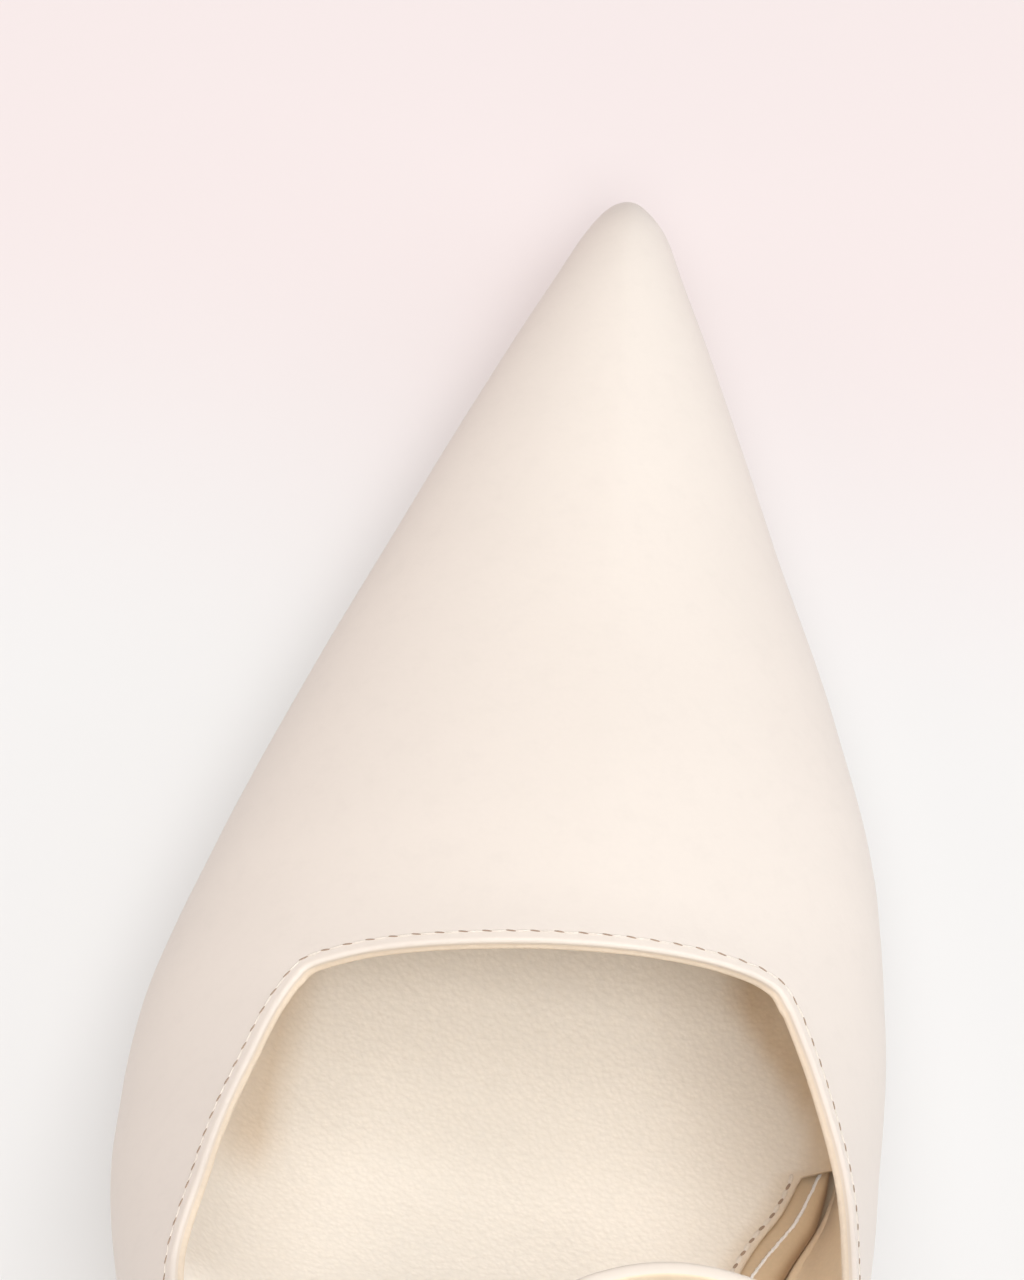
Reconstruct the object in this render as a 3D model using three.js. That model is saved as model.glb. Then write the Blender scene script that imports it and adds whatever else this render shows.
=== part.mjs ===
// Left slingback pump, EU 37: pointed closed toe, squared throat, covered stiletto heel,
// a narrow sling behind the heel and a buckled ankle strap.
// Millimetres. +Z up, +Y to the toe, +X to the inner (medial) side of the foot.
// The origin is the centre of the heel tip's ground face.
import * as THREE from "three";

// Driving sizes of the last and the shoe.
const PLAN_LENGTH = 246;        // back of the heel seat to the toe tip, seen from above
const BALL_WIDTH = 78.6;        // outer width of the upper at the ball
const SOLE_WIDTH = 71;          // width of the feather line at the ball
const VAMP_HEIGHT = 46.5;       // ridge of the last over the insole line at the throat
const SEAT_HEIGHT = 78;         // rise of the insole line from ball to heel seat
const HEEL_SETBACK = 21;        // heel tip's centre ahead of the back of the seat
const TOE_SWING = 4;            // toe tip's shift to the inner side
const ANKLE_HEIGHT = 129;       // middle of the ankle strap's front, over the ground
const SLING_HEIGHT = 0.969 * ANKLE_HEIGHT;  // middle of the sling behind the heel
const ANKLE_DEPTH = 86;       // length of the ankle strap's loop, front to back
const ANKLE_HALF_WIDTH = 29;    // half width of the same loop

// Material thicknesses and clearances.
const WALL = 1.6;               // leather and lining of the upper together
const OUTSOLE_FORE = 2.7;
const OUTSOLE_WAIST = 1.9;
const INSOLE_THICK = 3;
const SOCK_THICK = 0.8;
const STRAP_WIDTH = 9;
const STRAP_THICK = 1.5;
const TOP_PIECE_HEIGHT = 6;
const FIT = 0.3;                // space between pieces that meet
const SOCK_MARGIN = 4.5;        // insole cover seen beside the sock at the waist and seat

// Share of the way up a section, feather line to ridge, at which the last is widest.
const BEND_AT = 0.35;
// Exponent of the section above the widest point: over 1 is leaner than an ellipse.
const LATERAL_POWER = 1.12;
const MEDIAL_POWER = 1;

// A table is read by column name; "along" is the share of PLAN_LENGTH from the toe tip.
function table(columns, rows) {
  const read = {};
  columns.forEach((name, i) => {
    read[name] = rows.map((row) => row[i]);
  });
  return read;
}

// Shares of BALL_WIDTH (medial, lateral, ridge), SOLE_WIDTH (soleMedial, soleLateral)
// and VAMP_HEIGHT (thick, bulge) at each section of the last.
const LAST = table(
  ["along", "medial", "lateral", "soleMedial", "soleLateral", "thick", "bulge", "ridge"], [
    [0.000, 0.000, 0.000, 0.000, 0.000, 0.000, 0.000, 0.000],
    [0.008, 0.032, 0.034, 0.026, 0.026, 0.130, 0.045, 0.000],
    [0.020, 0.058, 0.055, 0.052, 0.047, 0.205, 0.075, 0.002],
    [0.041, 0.088, 0.082, 0.083, 0.072, 0.280, 0.105, 0.005],
    [0.081, 0.149, 0.134, 0.145, 0.125, 0.376, 0.140, 0.012],
    [0.163, 0.263, 0.236, 0.262, 0.226, 0.538, 0.194, 0.028],
    [0.244, 0.371, 0.336, 0.362, 0.322, 0.699, 0.237, 0.042],
    [0.325, 0.446, 0.429, 0.436, 0.414, 0.860, 0.270, 0.055],
    [0.404, 0.470, 0.504, 0.494, 0.486, 1.000, 0.290, 0.066],
    [0.434, 0.467, 0.517, 0.484, 0.501, 1.058, 0.302, 0.073],
    [0.447, 0.464, 0.520, 0.472, 0.506, 1.084, 0.307, 0.075],
    [0.480, 0.457, 0.526, 0.418, 0.514, 1.150, 0.320, 0.080],
    [0.549, 0.430, 0.508, 0.330, 0.486, 1.290, 0.345, 0.080],
    [0.630, 0.402, 0.465, 0.290, 0.415, 1.420, 0.365, 0.076],
    [0.711, 0.390, 0.428, 0.290, 0.370, 1.520, 0.380, 0.060],
    [0.813, 0.370, 0.390, 0.342, 0.360, 1.600, 0.390, 0.030],
    [0.890, 0.350, 0.360, 0.362, 0.366, 1.600, 0.390, 0.000],
    [0.950, 0.290, 0.290, 0.315, 0.315, 1.600, 0.390, 0.000],
    [1.000, 0.000, 0.000, 0.000, 0.000, 1.600, 0.390, 0.000],
  ]);

// Height of the insole line as a share of SEAT_HEIGHT: toe spring, flat ball, arch, seat.
const PROFILE = table(["along", "height"], [
  [0.000, 0.0720], [0.061, 0.0460], [0.122, 0.0230], [0.183, 0.0070], [0.240, 0.0000],
  [0.370, 0.0000], [0.411, 0.0130], [0.451, 0.0450], [0.492, 0.1030], [0.553, 0.2310],
  [0.614, 0.3850], [0.675, 0.5510], [0.736, 0.6920], [0.797, 0.8080], [0.858, 0.8910],
  [0.919, 0.9490], [1.000, 1.0000],
]);

// The squared throat: how far along the last each point of its front edge lies.
// "across" runs from -1 at the outer feather line over 0 at the ridge to 1 at the inner one.
const THROAT = table(["across", "along"], [
  [-0.332, 0.4180], [-0.320, 0.4120], [-0.292, 0.4085], [-0.241, 0.4050], [-0.153, 0.4025],
  [-0.064, 0.4010], [0.115, 0.4000], [0.189, 0.4010], [0.235, 0.4045], [0.256, 0.4120],
]);

// Upper edge (across) of the two quarters behind the throat.
const TOPLINE_LATERAL = table(["along", "across"], [
  [0.418, 0.332], [0.429, 0.347], [0.459, 0.377], [0.511, 0.430], [0.568, 0.500],
  [0.600, 0.512], [0.630, 0.520], [0.670, 0.534],
]);
const TOPLINE_MEDIAL = table(["along", "across"], [
  [0.412, 0.256], [0.420, 0.270], [0.435, 0.297], [0.461, 0.344], [0.497, 0.403],
  [0.537, 0.446], [0.570, 0.482], [0.600, 0.508], [0.630, 0.524], [0.670, 0.540],
]);
// Lower edge of both quarters: the feather line, then the sweep up to the sling.
const QUARTER_LOWER = table(["along", "across"], [
  [0.400, 1.000], [0.530, 1.000], [0.542, 0.930], [0.558, 0.800], [0.578, 0.706],
  [0.600, 0.657], [0.630, 0.637], [0.670, 0.632],
]);
const TAIL_END_AT = 0.66;         // end of the quarters' tails, along
const TAIL_ROUND_SHARE = 0.008;   // how much further the middle of a tail reaches
const TAIL_MIDDLE_AT = 0.580;     // across of the sling's line under the tails

// Where the vamp's lining ends, along: the sock steps in from the wall to its margin.
const SOCK_STEP_MEDIAL = 0.4315;
const SOCK_STEP_LATERAL = 0.545;
const SOCK_STEP_SHARE = 0.003;    // length of the step
const SOCK_WIDENS_TO = 0.48;      // the margin has its whole width from here on, along
const SEAT_CENTRE_AT = 0.9;       // centre of the seat's round end, along

// The sling's free run from a tail to the ankle strap: shares of PLAN_LENGTH from the
// seat's back (ahead), of ANKLE_HALF_WIDTH (lateral, medial) and of SLING_HEIGHT (height).
const SLING = table(["ahead", "lateral", "medial", "height"], [
  [0.286, 1.085, 0.970, 0.614], [0.228, 1.025, 0.955, 0.709],
  [0.166, 0.955, 0.925, 0.802], [0.108, 0.885, 0.880, 0.884],
]);
// Its height where it lies against the inside of the ankle strap's rows 3, 2, 1 and 0.
const SLING_BACK = [0.926, 0.972, 0.990, 1.000];
const SLING_LEAN_DEG = 10;      // lean of the sling's face on its free run, degrees
const SLING_SAG = 0.25;         // depth of the tail's hollow across the flat sling's width

// The ankle strap's loop, one half from its back round the side to its front: shares of
// ANKLE_DEPTH (ahead), ANKLE_HALF_WIDTH (aside, and inward, the shift of both halves to
// the inner side, where the shin is) and ANKLE_HEIGHT, lean of its face in degrees.
const ANKLE = table(["ahead", "aside", "inward", "height", "lean"], [
  [0.000, 0.000, 0.000, 0.972, 12], [0.022, 0.330, 0.000, 0.973, 12],
  [0.083, 0.640, 0.000, 0.976, 11], [0.195, 0.880, 0.004, 0.980, 9],
  [0.350, 0.985, 0.025, 0.985, 5], [0.520, 1.000, 0.068, 0.990, 2],
  [0.690, 0.940, 0.125, 0.994, -2], [0.850, 0.730, 0.180, 0.997, -7],
  [0.960, 0.395, 0.207, 0.999, -10], [1.000, 0.000, 0.190, 1.000, -10],
]);
const ANKLE_BACK = 0.2;         // back of the ankle loop ahead of the seat's back

// The heel's flare from its tip (0) to its seat (1) at each share of its height.
const HEEL = table(["height", "back", "front", "width"], [
  [0.00, 0.000, 0.000, 0.000], [0.12, -0.015, 0.012, 0.004], [0.25, -0.005, 0.030, 0.020],
  [0.40, 0.060, 0.055, 0.060], [0.54, 0.180, 0.100, 0.130], [0.66, 0.340, 0.170, 0.250],
  [0.76, 0.520, 0.270, 0.410], [0.85, 0.710, 0.420, 0.610], [0.93, 0.880, 0.650, 0.830],
  [1.00, 1.000, 1.000, 1.000],
]);
const TIP_HALF_DEPTH = 5.6;
const TIP_HALF_WIDTH = 5.2;
const TIP_GROUND_INSET = 0.4;   // the top piece narrows to the ground
const BREAST_LINE = 49;         // front of the heel's seat ahead of the seat's back
const BREAST_HOLLOW = 2.5;      // how far the breast is hollowed back at its middle
const SEAT_INSET = 0.8;         // heel's seat inside the edge of the sole

// Buckle on the outer side of the ankle strap.
const BUCKLE_AT = 0.205;        // rear bar, share of the loop from its back
const BUCKLE_LENGTH = 10.5;     // between the bars' middles
const BUCKLE_HEIGHT = 12.6;     // between the side wires' middles
const BUCKLE_WIRE = 0.9;        // radius of the frame's wire
const PRONG_RADIUS = 0.55;
const KEEPER_AT = 0.160;        // share of the loop from its back
const KEEPER_WIDTH = 3.4;
const KEEPER_THICK = 0.9;
const FREE_END_AT = 0.125;      // the strap's free end, share of the loop from its back

// Rounded ends in plan: equal steps of the warped share are fine at the toe and the seat.
function warp(share) {
  return Math.acos(Math.min(1, Math.max(-1, 1 - 2 * share))) / Math.PI;
}

// Monotone cubic through the table's points, read at q.
function smooth(xs, ys, q) {
  const n = xs.length;
  let i = 0;
  while (i < n - 2 && q >= xs[i + 1]) {
    i += 1;
  }
  const rise = (k) => (ys[k + 1] - ys[k]) / (xs[k + 1] - xs[k]);
  const slope = (k) => {
    if (k === 0) {
      return rise(0);
    }
    if (k === n - 1) {
      return rise(n - 2);
    }
    const before = rise(k - 1);
    const after = rise(k);
    if (before * after <= 0) {
      return 0;
    }
    const h0 = xs[k] - xs[k - 1];
    const h1 = xs[k + 1] - xs[k];
    const w0 = 2 * h1 + h0;
    const w1 = h1 + 2 * h0;
    return (w0 + w1) / (w0 / before + w1 / after);
  };
  const h = xs[i + 1] - xs[i];
  const t = (q - xs[i]) / h;
  return (1 + 2 * t) * (1 - t) ** 2 * ys[i] + t * (1 - t) ** 2 * h * slope(i)
    + t * t * (3 - 2 * t) * ys[i + 1] + t * t * (t - 1) * h * slope(i + 1);
}

const WARPED = LAST.along.map(warp);

function last(name, s) {
  return smooth(WARPED, LAST[name], warp(s));
}

function baseHeight(s) {
  return OUTSOLE_FORE + FIT + SEAT_HEIGHT * smooth(PROFILE.along, PROFILE.height, s);
}

function swing(s) {
  return TOE_SWING * Math.max(0, 1 - s / 0.4) ** 2;
}

function ahead(s) {
  return PLAN_LENGTH * (1 - s) - HEEL_SETBACK;
}

function fade(from, to, s) {
  const t = Math.min(1, Math.max(0, (s - from) / (to - from)));
  return t * t * (3 - 2 * t);
}

// Outer surface of the last. Below the widest point a quarter of an ellipse swells from
// the feather line; above it a leaner one closes to the ridge.
function lastPoint(s, across) {
  const inner = across >= 0;
  const side = inner ? 1 : -1;
  const up = 1 - Math.abs(across);
  const out = BALL_WIDTH * last(inner ? "medial" : "lateral", s);
  const sole = SOLE_WIDTH * last(inner ? "soleMedial" : "soleLateral", s);
  const thick = VAMP_HEIGHT * last("thick", s);
  const bulge = VAMP_HEIGHT * last("bulge", s);
  const ridge = BALL_WIDTH * last("ridge", s);
  const lean = inner ? MEDIAL_POWER : LATERAL_POWER;
  let x;
  let z;
  if (up < BEND_AT) {
    const a = (Math.PI / 2) * (up / BEND_AT - 1);
    x = side * (sole + (out - sole) * Math.cos(a));
    z = bulge * (1 + Math.sin(a));
  } else {
    const a = ((Math.PI / 2) * (up - BEND_AT)) / (1 - BEND_AT);
    x = ridge + (side * out - ridge) * Math.max(0, Math.cos(a)) ** lean;
    z = bulge + (thick - bulge) * Math.max(0, Math.sin(a)) ** lean;
  }
  return new THREE.Vector3(swing(s) + x, ahead(s), baseHeight(s) + z);
}

// Outward normal of the last, from short steps both ways.
function lastNormal(s, across) {
  const ds = 0.0004;
  const da = 0.004;
  const s0 = Math.max(s, 2 * ds);
  const along = lastPoint(s0 + ds, across).sub(lastPoint(s0 - ds, across));
  const round = lastPoint(s0, Math.min(1, across + da));
  round.sub(lastPoint(s0, Math.max(-1, across - da)));
  return along.cross(round).normalize();
}

// The last moved outward (inward when the distance is negative).
function lastOffset(s, across, distance) {
  const p = lastPoint(s, across);
  if (s === 0) {
    return p.add(new THREE.Vector3(0, distance, 0));
  }
  return p.addScaledVector(lastNormal(s, across), distance);
}

// A closed mesh from points and triangles, faced outward.
function solid(points, faces) {
  let volume = 0;
  const cross = new THREE.Vector3();
  faces.forEach(([a, b, c]) => {
    volume += points[a].dot(cross.crossVectors(points[b], points[c]));
  });
  const order = volume < 0 ? [0, 2, 1] : [0, 1, 2];
  const geometry = new THREE.BufferGeometry();
  const flat = new Float32Array(points.length * 3);
  points.forEach((p, i) => p.toArray(flat, i * 3));
  geometry.setAttribute("position", new THREE.BufferAttribute(flat, 3));
  geometry.setIndex(faces.flatMap((f) => order.map((k) => f[k])));
  geometry.computeVertexNormals();
  return geometry;
}

// Loops of equal count joined in order; a loop of one point closes an end to a tip, any
// other end gets a flat fan about its middle.
function loft(loops) {
  const points = [];
  const faces = [];
  const starts = loops.map((loop) => {
    const start = points.length;
    points.push(...loop);
    return start;
  });
  for (let i = 0; i < loops.length - 1; i += 1) {
    const n = Math.max(loops[i].length, loops[i + 1].length);
    for (let j = 0; j < n; j += 1) {
      const k = (j + 1) % n;
      const a = starts[i];
      const b = starts[i + 1];
      if (loops[i].length === 1) {
        faces.push([a, b + k, b + j]);
      } else if (loops[i + 1].length === 1) {
        faces.push([a + j, a + k, b]);
      } else {
        faces.push([a + j, a + k, b + k], [a + j, b + k, b + j]);
      }
    }
  }
  [0, loops.length - 1].forEach((end) => {
    const loop = loops[end];
    if (loop.length > 1) {
      const middle = new THREE.Vector3();
      loop.forEach((p) => middle.addScaledVector(p, 1 / loop.length));
      const hub = points.push(middle) - 1;
      for (let j = 0; j < loop.length; j += 1) {
        const pair = [starts[end] + j, starts[end] + ((j + 1) % loop.length)];
        faces.push(end === 0 ? [hub, pair[1], pair[0]] : [hub, pair[0], pair[1]]);
      }
    }
  });
  return solid(points, faces);
}

// Upper: a sheet on the last, wall inward, open at the throat, between the quarters
// behind it and along the feather line underneath.
function upperGeometry() {
  const sideColumns = 9;
  const throatColumns = 12;
  const frontRows = 22;
  const wingRows = 14;
  const corner = { lateral: THROAT.across[0], medial: THROAT.across.at(-1) };
  const columns = [];
  for (let j = 0; j <= sideColumns; j += 1) {
    columns.push(-1 + ((1 + corner.lateral) * j) / sideColumns);
  }
  for (let j = 1; j < throatColumns; j += 1) {
    const t = (1 - Math.cos((Math.PI * j) / throatColumns)) / 2;
    const even = j / throatColumns;
    columns.push(corner.lateral + (corner.medial - corner.lateral) * (0.6 * t + 0.4 * even));
  }
  for (let j = 0; j <= sideColumns; j += 1) {
    columns.push(corner.medial + ((1 - corner.medial) * j) / sideColumns);
  }
  const points = [];
  const faces = [];
  const pair = (s, across) => {
    points.push(lastOffset(s, across, 0), lastOffset(s, across, -WALL));
    return points.length - 2;
  };
  const quad = (a, b, c, d) => {
    faces.push([a, b, c], [a, c, d]);
    faces.push([a + 1, c + 1, b + 1], [a + 1, d + 1, c + 1]);
  };
  const rim = (a, b) => {
    faces.push([a, a + 1, b + 1], [a, b + 1, b]);
  };
  const end = (across) => {
    const inside = Math.min(corner.medial, Math.max(corner.lateral, across));
    return smooth(THROAT.across, THROAT.along, inside);
  };
  const tip = pair(0, 0);
  const grid = [];
  for (let i = 1; i <= frontRows; i += 1) {
    const t = i / frontRows;
    grid.push(columns.map((across) => pair(end(across) * t ** 1.6, across)));
  }
  for (let j = 0; j < columns.length - 1; j += 1) {
    faces.push([tip, grid[0][j], grid[0][j + 1]]);
    faces.push([tip + 1, grid[0][j + 1] + 1, grid[0][j] + 1]);
    for (let i = 0; i < frontRows - 1; i += 1) {
      quad(grid[i][j], grid[i + 1][j], grid[i + 1][j + 1], grid[i][j + 1]);
    }
  }
  const back = grid.at(-1);
  const lastColumn = columns.length - 1;
  for (let j = sideColumns; j < lastColumn - sideColumns; j += 1) {
    rim(back[j], back[j + 1]);
  }
  rim(tip, grid[0][0]);
  rim(grid[0][lastColumn], tip);
  for (let i = 0; i < frontRows - 1; i += 1) {
    rim(grid[i][0], grid[i + 1][0]);
    rim(grid[i + 1][lastColumn], grid[i][lastColumn]);
  }
  [-1, 1].forEach((side) => {
    const topline = side < 0 ? TOPLINE_LATERAL : TOPLINE_MEDIAL;
    const start = side < 0 ? THROAT.along[0] : THROAT.along.at(-1);
    // Column 0 is the lower edge, the last one the topline.
    let before = [];
    for (let j = 0; j <= sideColumns; j += 1) {
      before.push(back[side < 0 ? j : lastColumn - j]);
    }
    for (let i = 1; i <= wingRows; i += 1) {
      const row = [];
      for (let j = 0; j <= sideColumns; j += 1) {
        const f = j / sideColumns;
        const stop = TAIL_END_AT + TAIL_ROUND_SHARE * (1 - (2 * f - 1) ** 2);
        const s = start + ((stop - start) * i) / wingRows;
        const high = smooth(topline.along, topline.across, s);
        const low = smooth(QUARTER_LOWER.along, QUARTER_LOWER.across, s);
        row.push(pair(s, side * (low + (high - low) * f)));
      }
      for (let j = 0; j < sideColumns; j += 1) {
        if (side < 0) {
          quad(before[j], row[j], row[j + 1], before[j + 1]);
        } else {
          quad(before[j], before[j + 1], row[j + 1], row[j]);
        }
      }
      if (side < 0) {
        rim(before[0], row[0]);
        rim(row[sideColumns], before[sideColumns]);
      } else {
        rim(row[0], before[0]);
        rim(before[sideColumns], row[sideColumns]);
      }
      before = row;
    }
    for (let j = 0; j < sideColumns; j += 1) {
      if (side < 0) {
        rim(before[j], before[j + 1]);
      } else {
        rim(before[j + 1], before[j]);
      }
    }
  });
  return solid(points, faces);
}

// Shares along the sole at which its plates have a section, with extra ones where asked.
function plateStations(first, final, count, ...extra) {
  const stations = [...extra];
  for (let i = 0; i <= count; i += 1) {
    const t = i / count;
    stations.push(first + (final - first) * (0.5 * t + 0.25 * (1 - Math.cos(Math.PI * t))));
  }
  return stations.sort((a, b) => a - b);
}

// A plate that follows the sole's profile, with rounded sides and ends. "half" gives its
// half widths, "bottom" its underside and "thick" its thickness at a share along.
function plate(stations, half, bottom, thick) {
  const first = stations[0];
  const final = stations.at(-1);
  const loops = stations.map((s) => {
    const y = ahead(s);
    if (s === first || s === final) {
      return [new THREE.Vector3(swing(s), y, bottom(s) + thick(s) / 2)];
    }
    const fromEnd = PLAN_LENGTH * Math.min(s - first, final - s);
    const radius = thick(s) / 2;
    const t = Math.min(1, fromEnd / radius);
    const depth = thick(s) * Math.sqrt(1 - (1 - t) ** 2);
    const low = bottom(s) + (thick(s) - depth) / 2;
    const round = depth / 2;
    const right = half(s, 1);
    const left = half(s, -1);
    const turn = Math.min(round, 0.45 * (left + right));
    const loop = [];
    const push = (x, z) => loop.push(new THREE.Vector3(swing(s) + x, y, z));
    const flat = (share, z) => push(share * ((share < 0 ? left : right) - turn), z);
    // Four points of a side's arc; the outer two lie on the faces.
    const arc = (degrees, side) => degrees.forEach((deg) => {
      const a = THREE.MathUtils.degToRad(deg);
      const reach = (side < 0 ? left : right) - turn + turn * Math.cos(a);
      push(side * reach, low + round * (1 + Math.sin(a) / Math.sin(Math.PI / 3)));
    });
    flat(-0.6, low);
    flat(0.6, low);
    arc([-60, -20, 20, 60], 1);
    flat(0.6, low + depth);
    flat(-0.6, low + depth);
    arc([60, 20, -20, -60], -1);
    return loop;
  });
  return loft(loops);
}

function soleHalf(s, side) {
  return SOLE_WIDTH * last(side > 0 ? "soleMedial" : "soleLateral", s);
}

function outsoleHalf(s, side) {
  const swell = BALL_WIDTH * last(side > 0 ? "medial" : "lateral", s) - soleHalf(s, side);
  const ledge = Math.min(1, 0.3 * swell);
  return soleHalf(s, side) + ledge * (1 - fade(0.48, 0.6, s));
}

function outsoleThick(s) {
  return OUTSOLE_FORE + (OUTSOLE_WAIST - OUTSOLE_FORE) * fade(0.42, 0.55, s);
}

function outsoleUnder(s) {
  return baseHeight(s) - FIT - outsoleThick(s);
}

// Half the room inside the upper's wall at a height over the insole line.
function roomHalf(s, side, height) {
  const out = BALL_WIDTH * last(side > 0 ? "medial" : "lateral", s);
  const sole = soleHalf(s, side);
  const fall = Math.min(1, Math.max(0, 1 - height / (VAMP_HEIGHT * last("bulge", s))));
  return sole + (out - sole) * Math.sqrt(1 - fall * fall) - WALL - 1.5 * FIT;
}

function insoleHalf(s, side) {
  const room = Math.min(roomHalf(s, side, INSOLE_THICK), roomHalf(s, side, INSOLE_THICK / 2));
  return Math.max(0.3, Math.min(soleHalf(s, side) - 1.5 * FIT, room));
}

// Half width at an inset from the insole's edge: plainly less along the waist, and round
// the seat as on a circle whose radius is the half width at the seat's centre.
function insideEdge(s, side, inset) {
  const x = insoleHalf(s, side);
  const radius = insoleHalf(Math.min(s, SEAT_CENTRE_AT), side);
  return Math.sqrt(Math.max(0.09, x * x - inset * (2 * radius - inset)));
}

// The sock fills the room between the walls as far as its step. On the inner side its
// margin starts there at four fifths of its width.
function sockHalf(s, side) {
  const width = SOCK_MARGIN * (0.8 + 0.2 * fade(SOCK_STEP_MEDIAL, SOCK_WIDENS_TO, s));
  const stepAt = side > 0 ? SOCK_STEP_MEDIAL : SOCK_STEP_LATERAL;
  const margin = FIT + (width - FIT) * fade(stepAt, stepAt + SOCK_STEP_SHARE, s);
  const room = roomHalf(s, side, INSOLE_THICK + FIT + SOCK_THICK);
  return Math.min(insideEdge(s, side, margin), room);
}

function outsoleGeometry() {
  return plate(plateStations(0.003, 0.999, 50), outsoleHalf, outsoleUnder, outsoleThick);
}

function insoleGeometry() {
  return plate(plateStations(0.017, 0.998, 50), insoleHalf, baseHeight, () => INSOLE_THICK);
}

function sockGeometry() {
  const steps = [SOCK_STEP_MEDIAL, SOCK_STEP_MEDIAL + SOCK_STEP_SHARE,
    SOCK_STEP_LATERAL, SOCK_STEP_LATERAL + SOCK_STEP_SHARE];
  const bottom = (s) => baseHeight(s) + INSOLE_THICK + FIT;
  const final = 0.998 - SOCK_MARGIN / PLAN_LENGTH;
  return plate(plateStations(0.024, final, 46, ...steps), sockHalf, bottom, () => SOCK_THICK);
}

// Half a ring round the heel: seat back, along one side, then across the breast.
function heelRing(backY, frontY, halfAt, hollow, cornerRadius) {
  const ring = [];
  const sidePoints = 13;
  const breastPoints = 5;
  const length = frontY - backY;
  for (let i = 0; i <= sidePoints; i += 1) {
    const u = (1 - Math.cos((Math.PI * i) / sidePoints)) / 2;
    const y = backY + length * u;
    const gap = Math.min(1, Math.max(0, 1 - (frontY - y) / cornerRadius));
    const x = halfAt(y) - cornerRadius * (1 - Math.sqrt(1 - gap * gap));
    ring.push({ x: i === 0 ? 0 : x, y, u });
  }
  const edge = ring.at(-1).x;
  for (let i = 1; i <= breastPoints; i += 1) {
    const f = i / breastPoints;
    ring.push({ x: edge * (1 - f), y: frontY - hollow * Math.sin((Math.PI / 2) * f), u: 1 });
  }
  return ring;
}

function mirrored(half) {
  const other = half.slice(1, -1).reverse();
  return [...half.map((p) => ({ ...p, side: 1 })), ...other.map((p) => ({ ...p, side: -1 }))];
}

// Covered heel: from the tip's small ring it stays slim, then flares to the seat, whose
// top follows the underside of the sole.
function heelGeometry() {
  const share = (y) => 1 - (y + HEEL_SETBACK) / PLAN_LENGTH;
  const backY = SEAT_INSET - HEEL_SETBACK;
  const frontY = BREAST_LINE - HEEL_SETBACK;
  const seatHalf = (y) => Math.min(soleHalf(share(y), 1), soleHalf(share(y), -1)) - SEAT_INSET;
  const seat = mirrored(heelRing(backY, frontY, seatHalf, BREAST_HOLLOW, 4));
  const tip = mirrored(heelRing(-TIP_HALF_DEPTH, TIP_HALF_DEPTH, tipHalf, 0, 2));
  const floor = TOP_PIECE_HEIGHT + FIT;
  const roof = (y) => outsoleUnder(share(y)) - FIT;
  const loops = [];
  const levels = 15;
  for (let k = 0; k <= levels; k += 1) {
    const f = k / levels;
    const back = smooth(HEEL.height, HEEL.back, f);
    const front = smooth(HEEL.height, HEEL.front, f);
    const width = smooth(HEEL.height, HEEL.width, f);
    loops.push(seat.map((p, i) => {
      const q = tip[i];
      const pull = back + (front - back) * p.u;
      const x = p.side * (q.x + (Math.max(0, p.x) - q.x) * width);
      const y = q.y + (p.y - q.y) * pull;
      return new THREE.Vector3(x, y, floor + (roof(p.y) - floor) * f);
    }));
  }
  const middleY = (backY + frontY) / 2;
  [0.66, 0.33].forEach((scale) => {
    loops.push(seat.map((p) => {
      const y = middleY + (p.y - middleY) * scale;
      return new THREE.Vector3(p.side * Math.max(0, p.x) * scale, y, roof(y));
    }));
  });
  loops.push([new THREE.Vector3(0, middleY, roof(middleY))]);
  return loft(loops);
}

function tipHalf(y) {
  return TIP_HALF_WIDTH * Math.sqrt(Math.max(0, 1 - Math.max(0, -y / TIP_HALF_DEPTH) ** 2.4));
}

// Top piece: the small replaceable pad that touches the ground.
function topPieceGeometry() {
  const ring = (inset, z) => {
    const scale = 1 - inset / TIP_HALF_WIDTH;
    const half = mirrored(heelRing(-TIP_HALF_DEPTH, TIP_HALF_DEPTH, tipHalf, 0, 2));
    return half.map((p) => new THREE.Vector3(p.side * p.x * scale, p.y * scale, z));
  };
  return loft([ring(TIP_GROUND_INSET, 0), ring(0, TOP_PIECE_HEIGHT)]);
}

// A strap swept along a path of { point, normal }: flat, with softly rounded edges.
function strapLoops(path, width, thick) {
  return path.map(({ point, normal }, i) => {
    const before = path[Math.max(0, i - 1)].point;
    const after = path[Math.min(path.length - 1, i + 1)].point;
    const tangent = after.clone().sub(before).normalize();
    const up = new THREE.Vector3().crossVectors(tangent, normal).normalize();
    const out = new THREE.Vector3().crossVectors(up, tangent).normalize();
    if (up.z < 0) {
      up.negate();
    }
    const w = width / 2;
    const t = thick / 2;
    const profile = [
      [t, w - 0.7 * t], [0.45 * t, w], [-0.45 * t, w], [-t, w - 0.7 * t],
      [-t, -w + 0.7 * t], [-0.45 * t, -w], [0.45 * t, -w], [t, -w + 0.7 * t],
    ];
    return profile.map(([o, u]) => point.clone().addScaledVector(out, o).addScaledVector(up, u));
  });
}

// Evenly spaced { point, normal } along smooth curves through both.
function evenPath(points, normals, count) {
  const line = new THREE.CatmullRomCurve3(points, false, "centripetal");
  const facing = new THREE.CatmullRomCurve3(normals, false, "catmullrom", 0.5);
  line.arcLengthDivisions = 600;
  const path = [];
  for (let i = 0; i <= count; i += 1) {
    const u = i / count;
    const t = line.getUtoTmapping(u);
    path.push({ point: line.getPoint(t), normal: facing.getPoint(t).normalize() });
  }
  return path;
}

function leaned(x, y, degrees) {
  const a = THREE.MathUtils.degToRad(degrees);
  return new THREE.Vector3(x, y, 0).normalize().multiplyScalar(Math.cos(a)).setZ(Math.sin(a));
}

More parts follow.
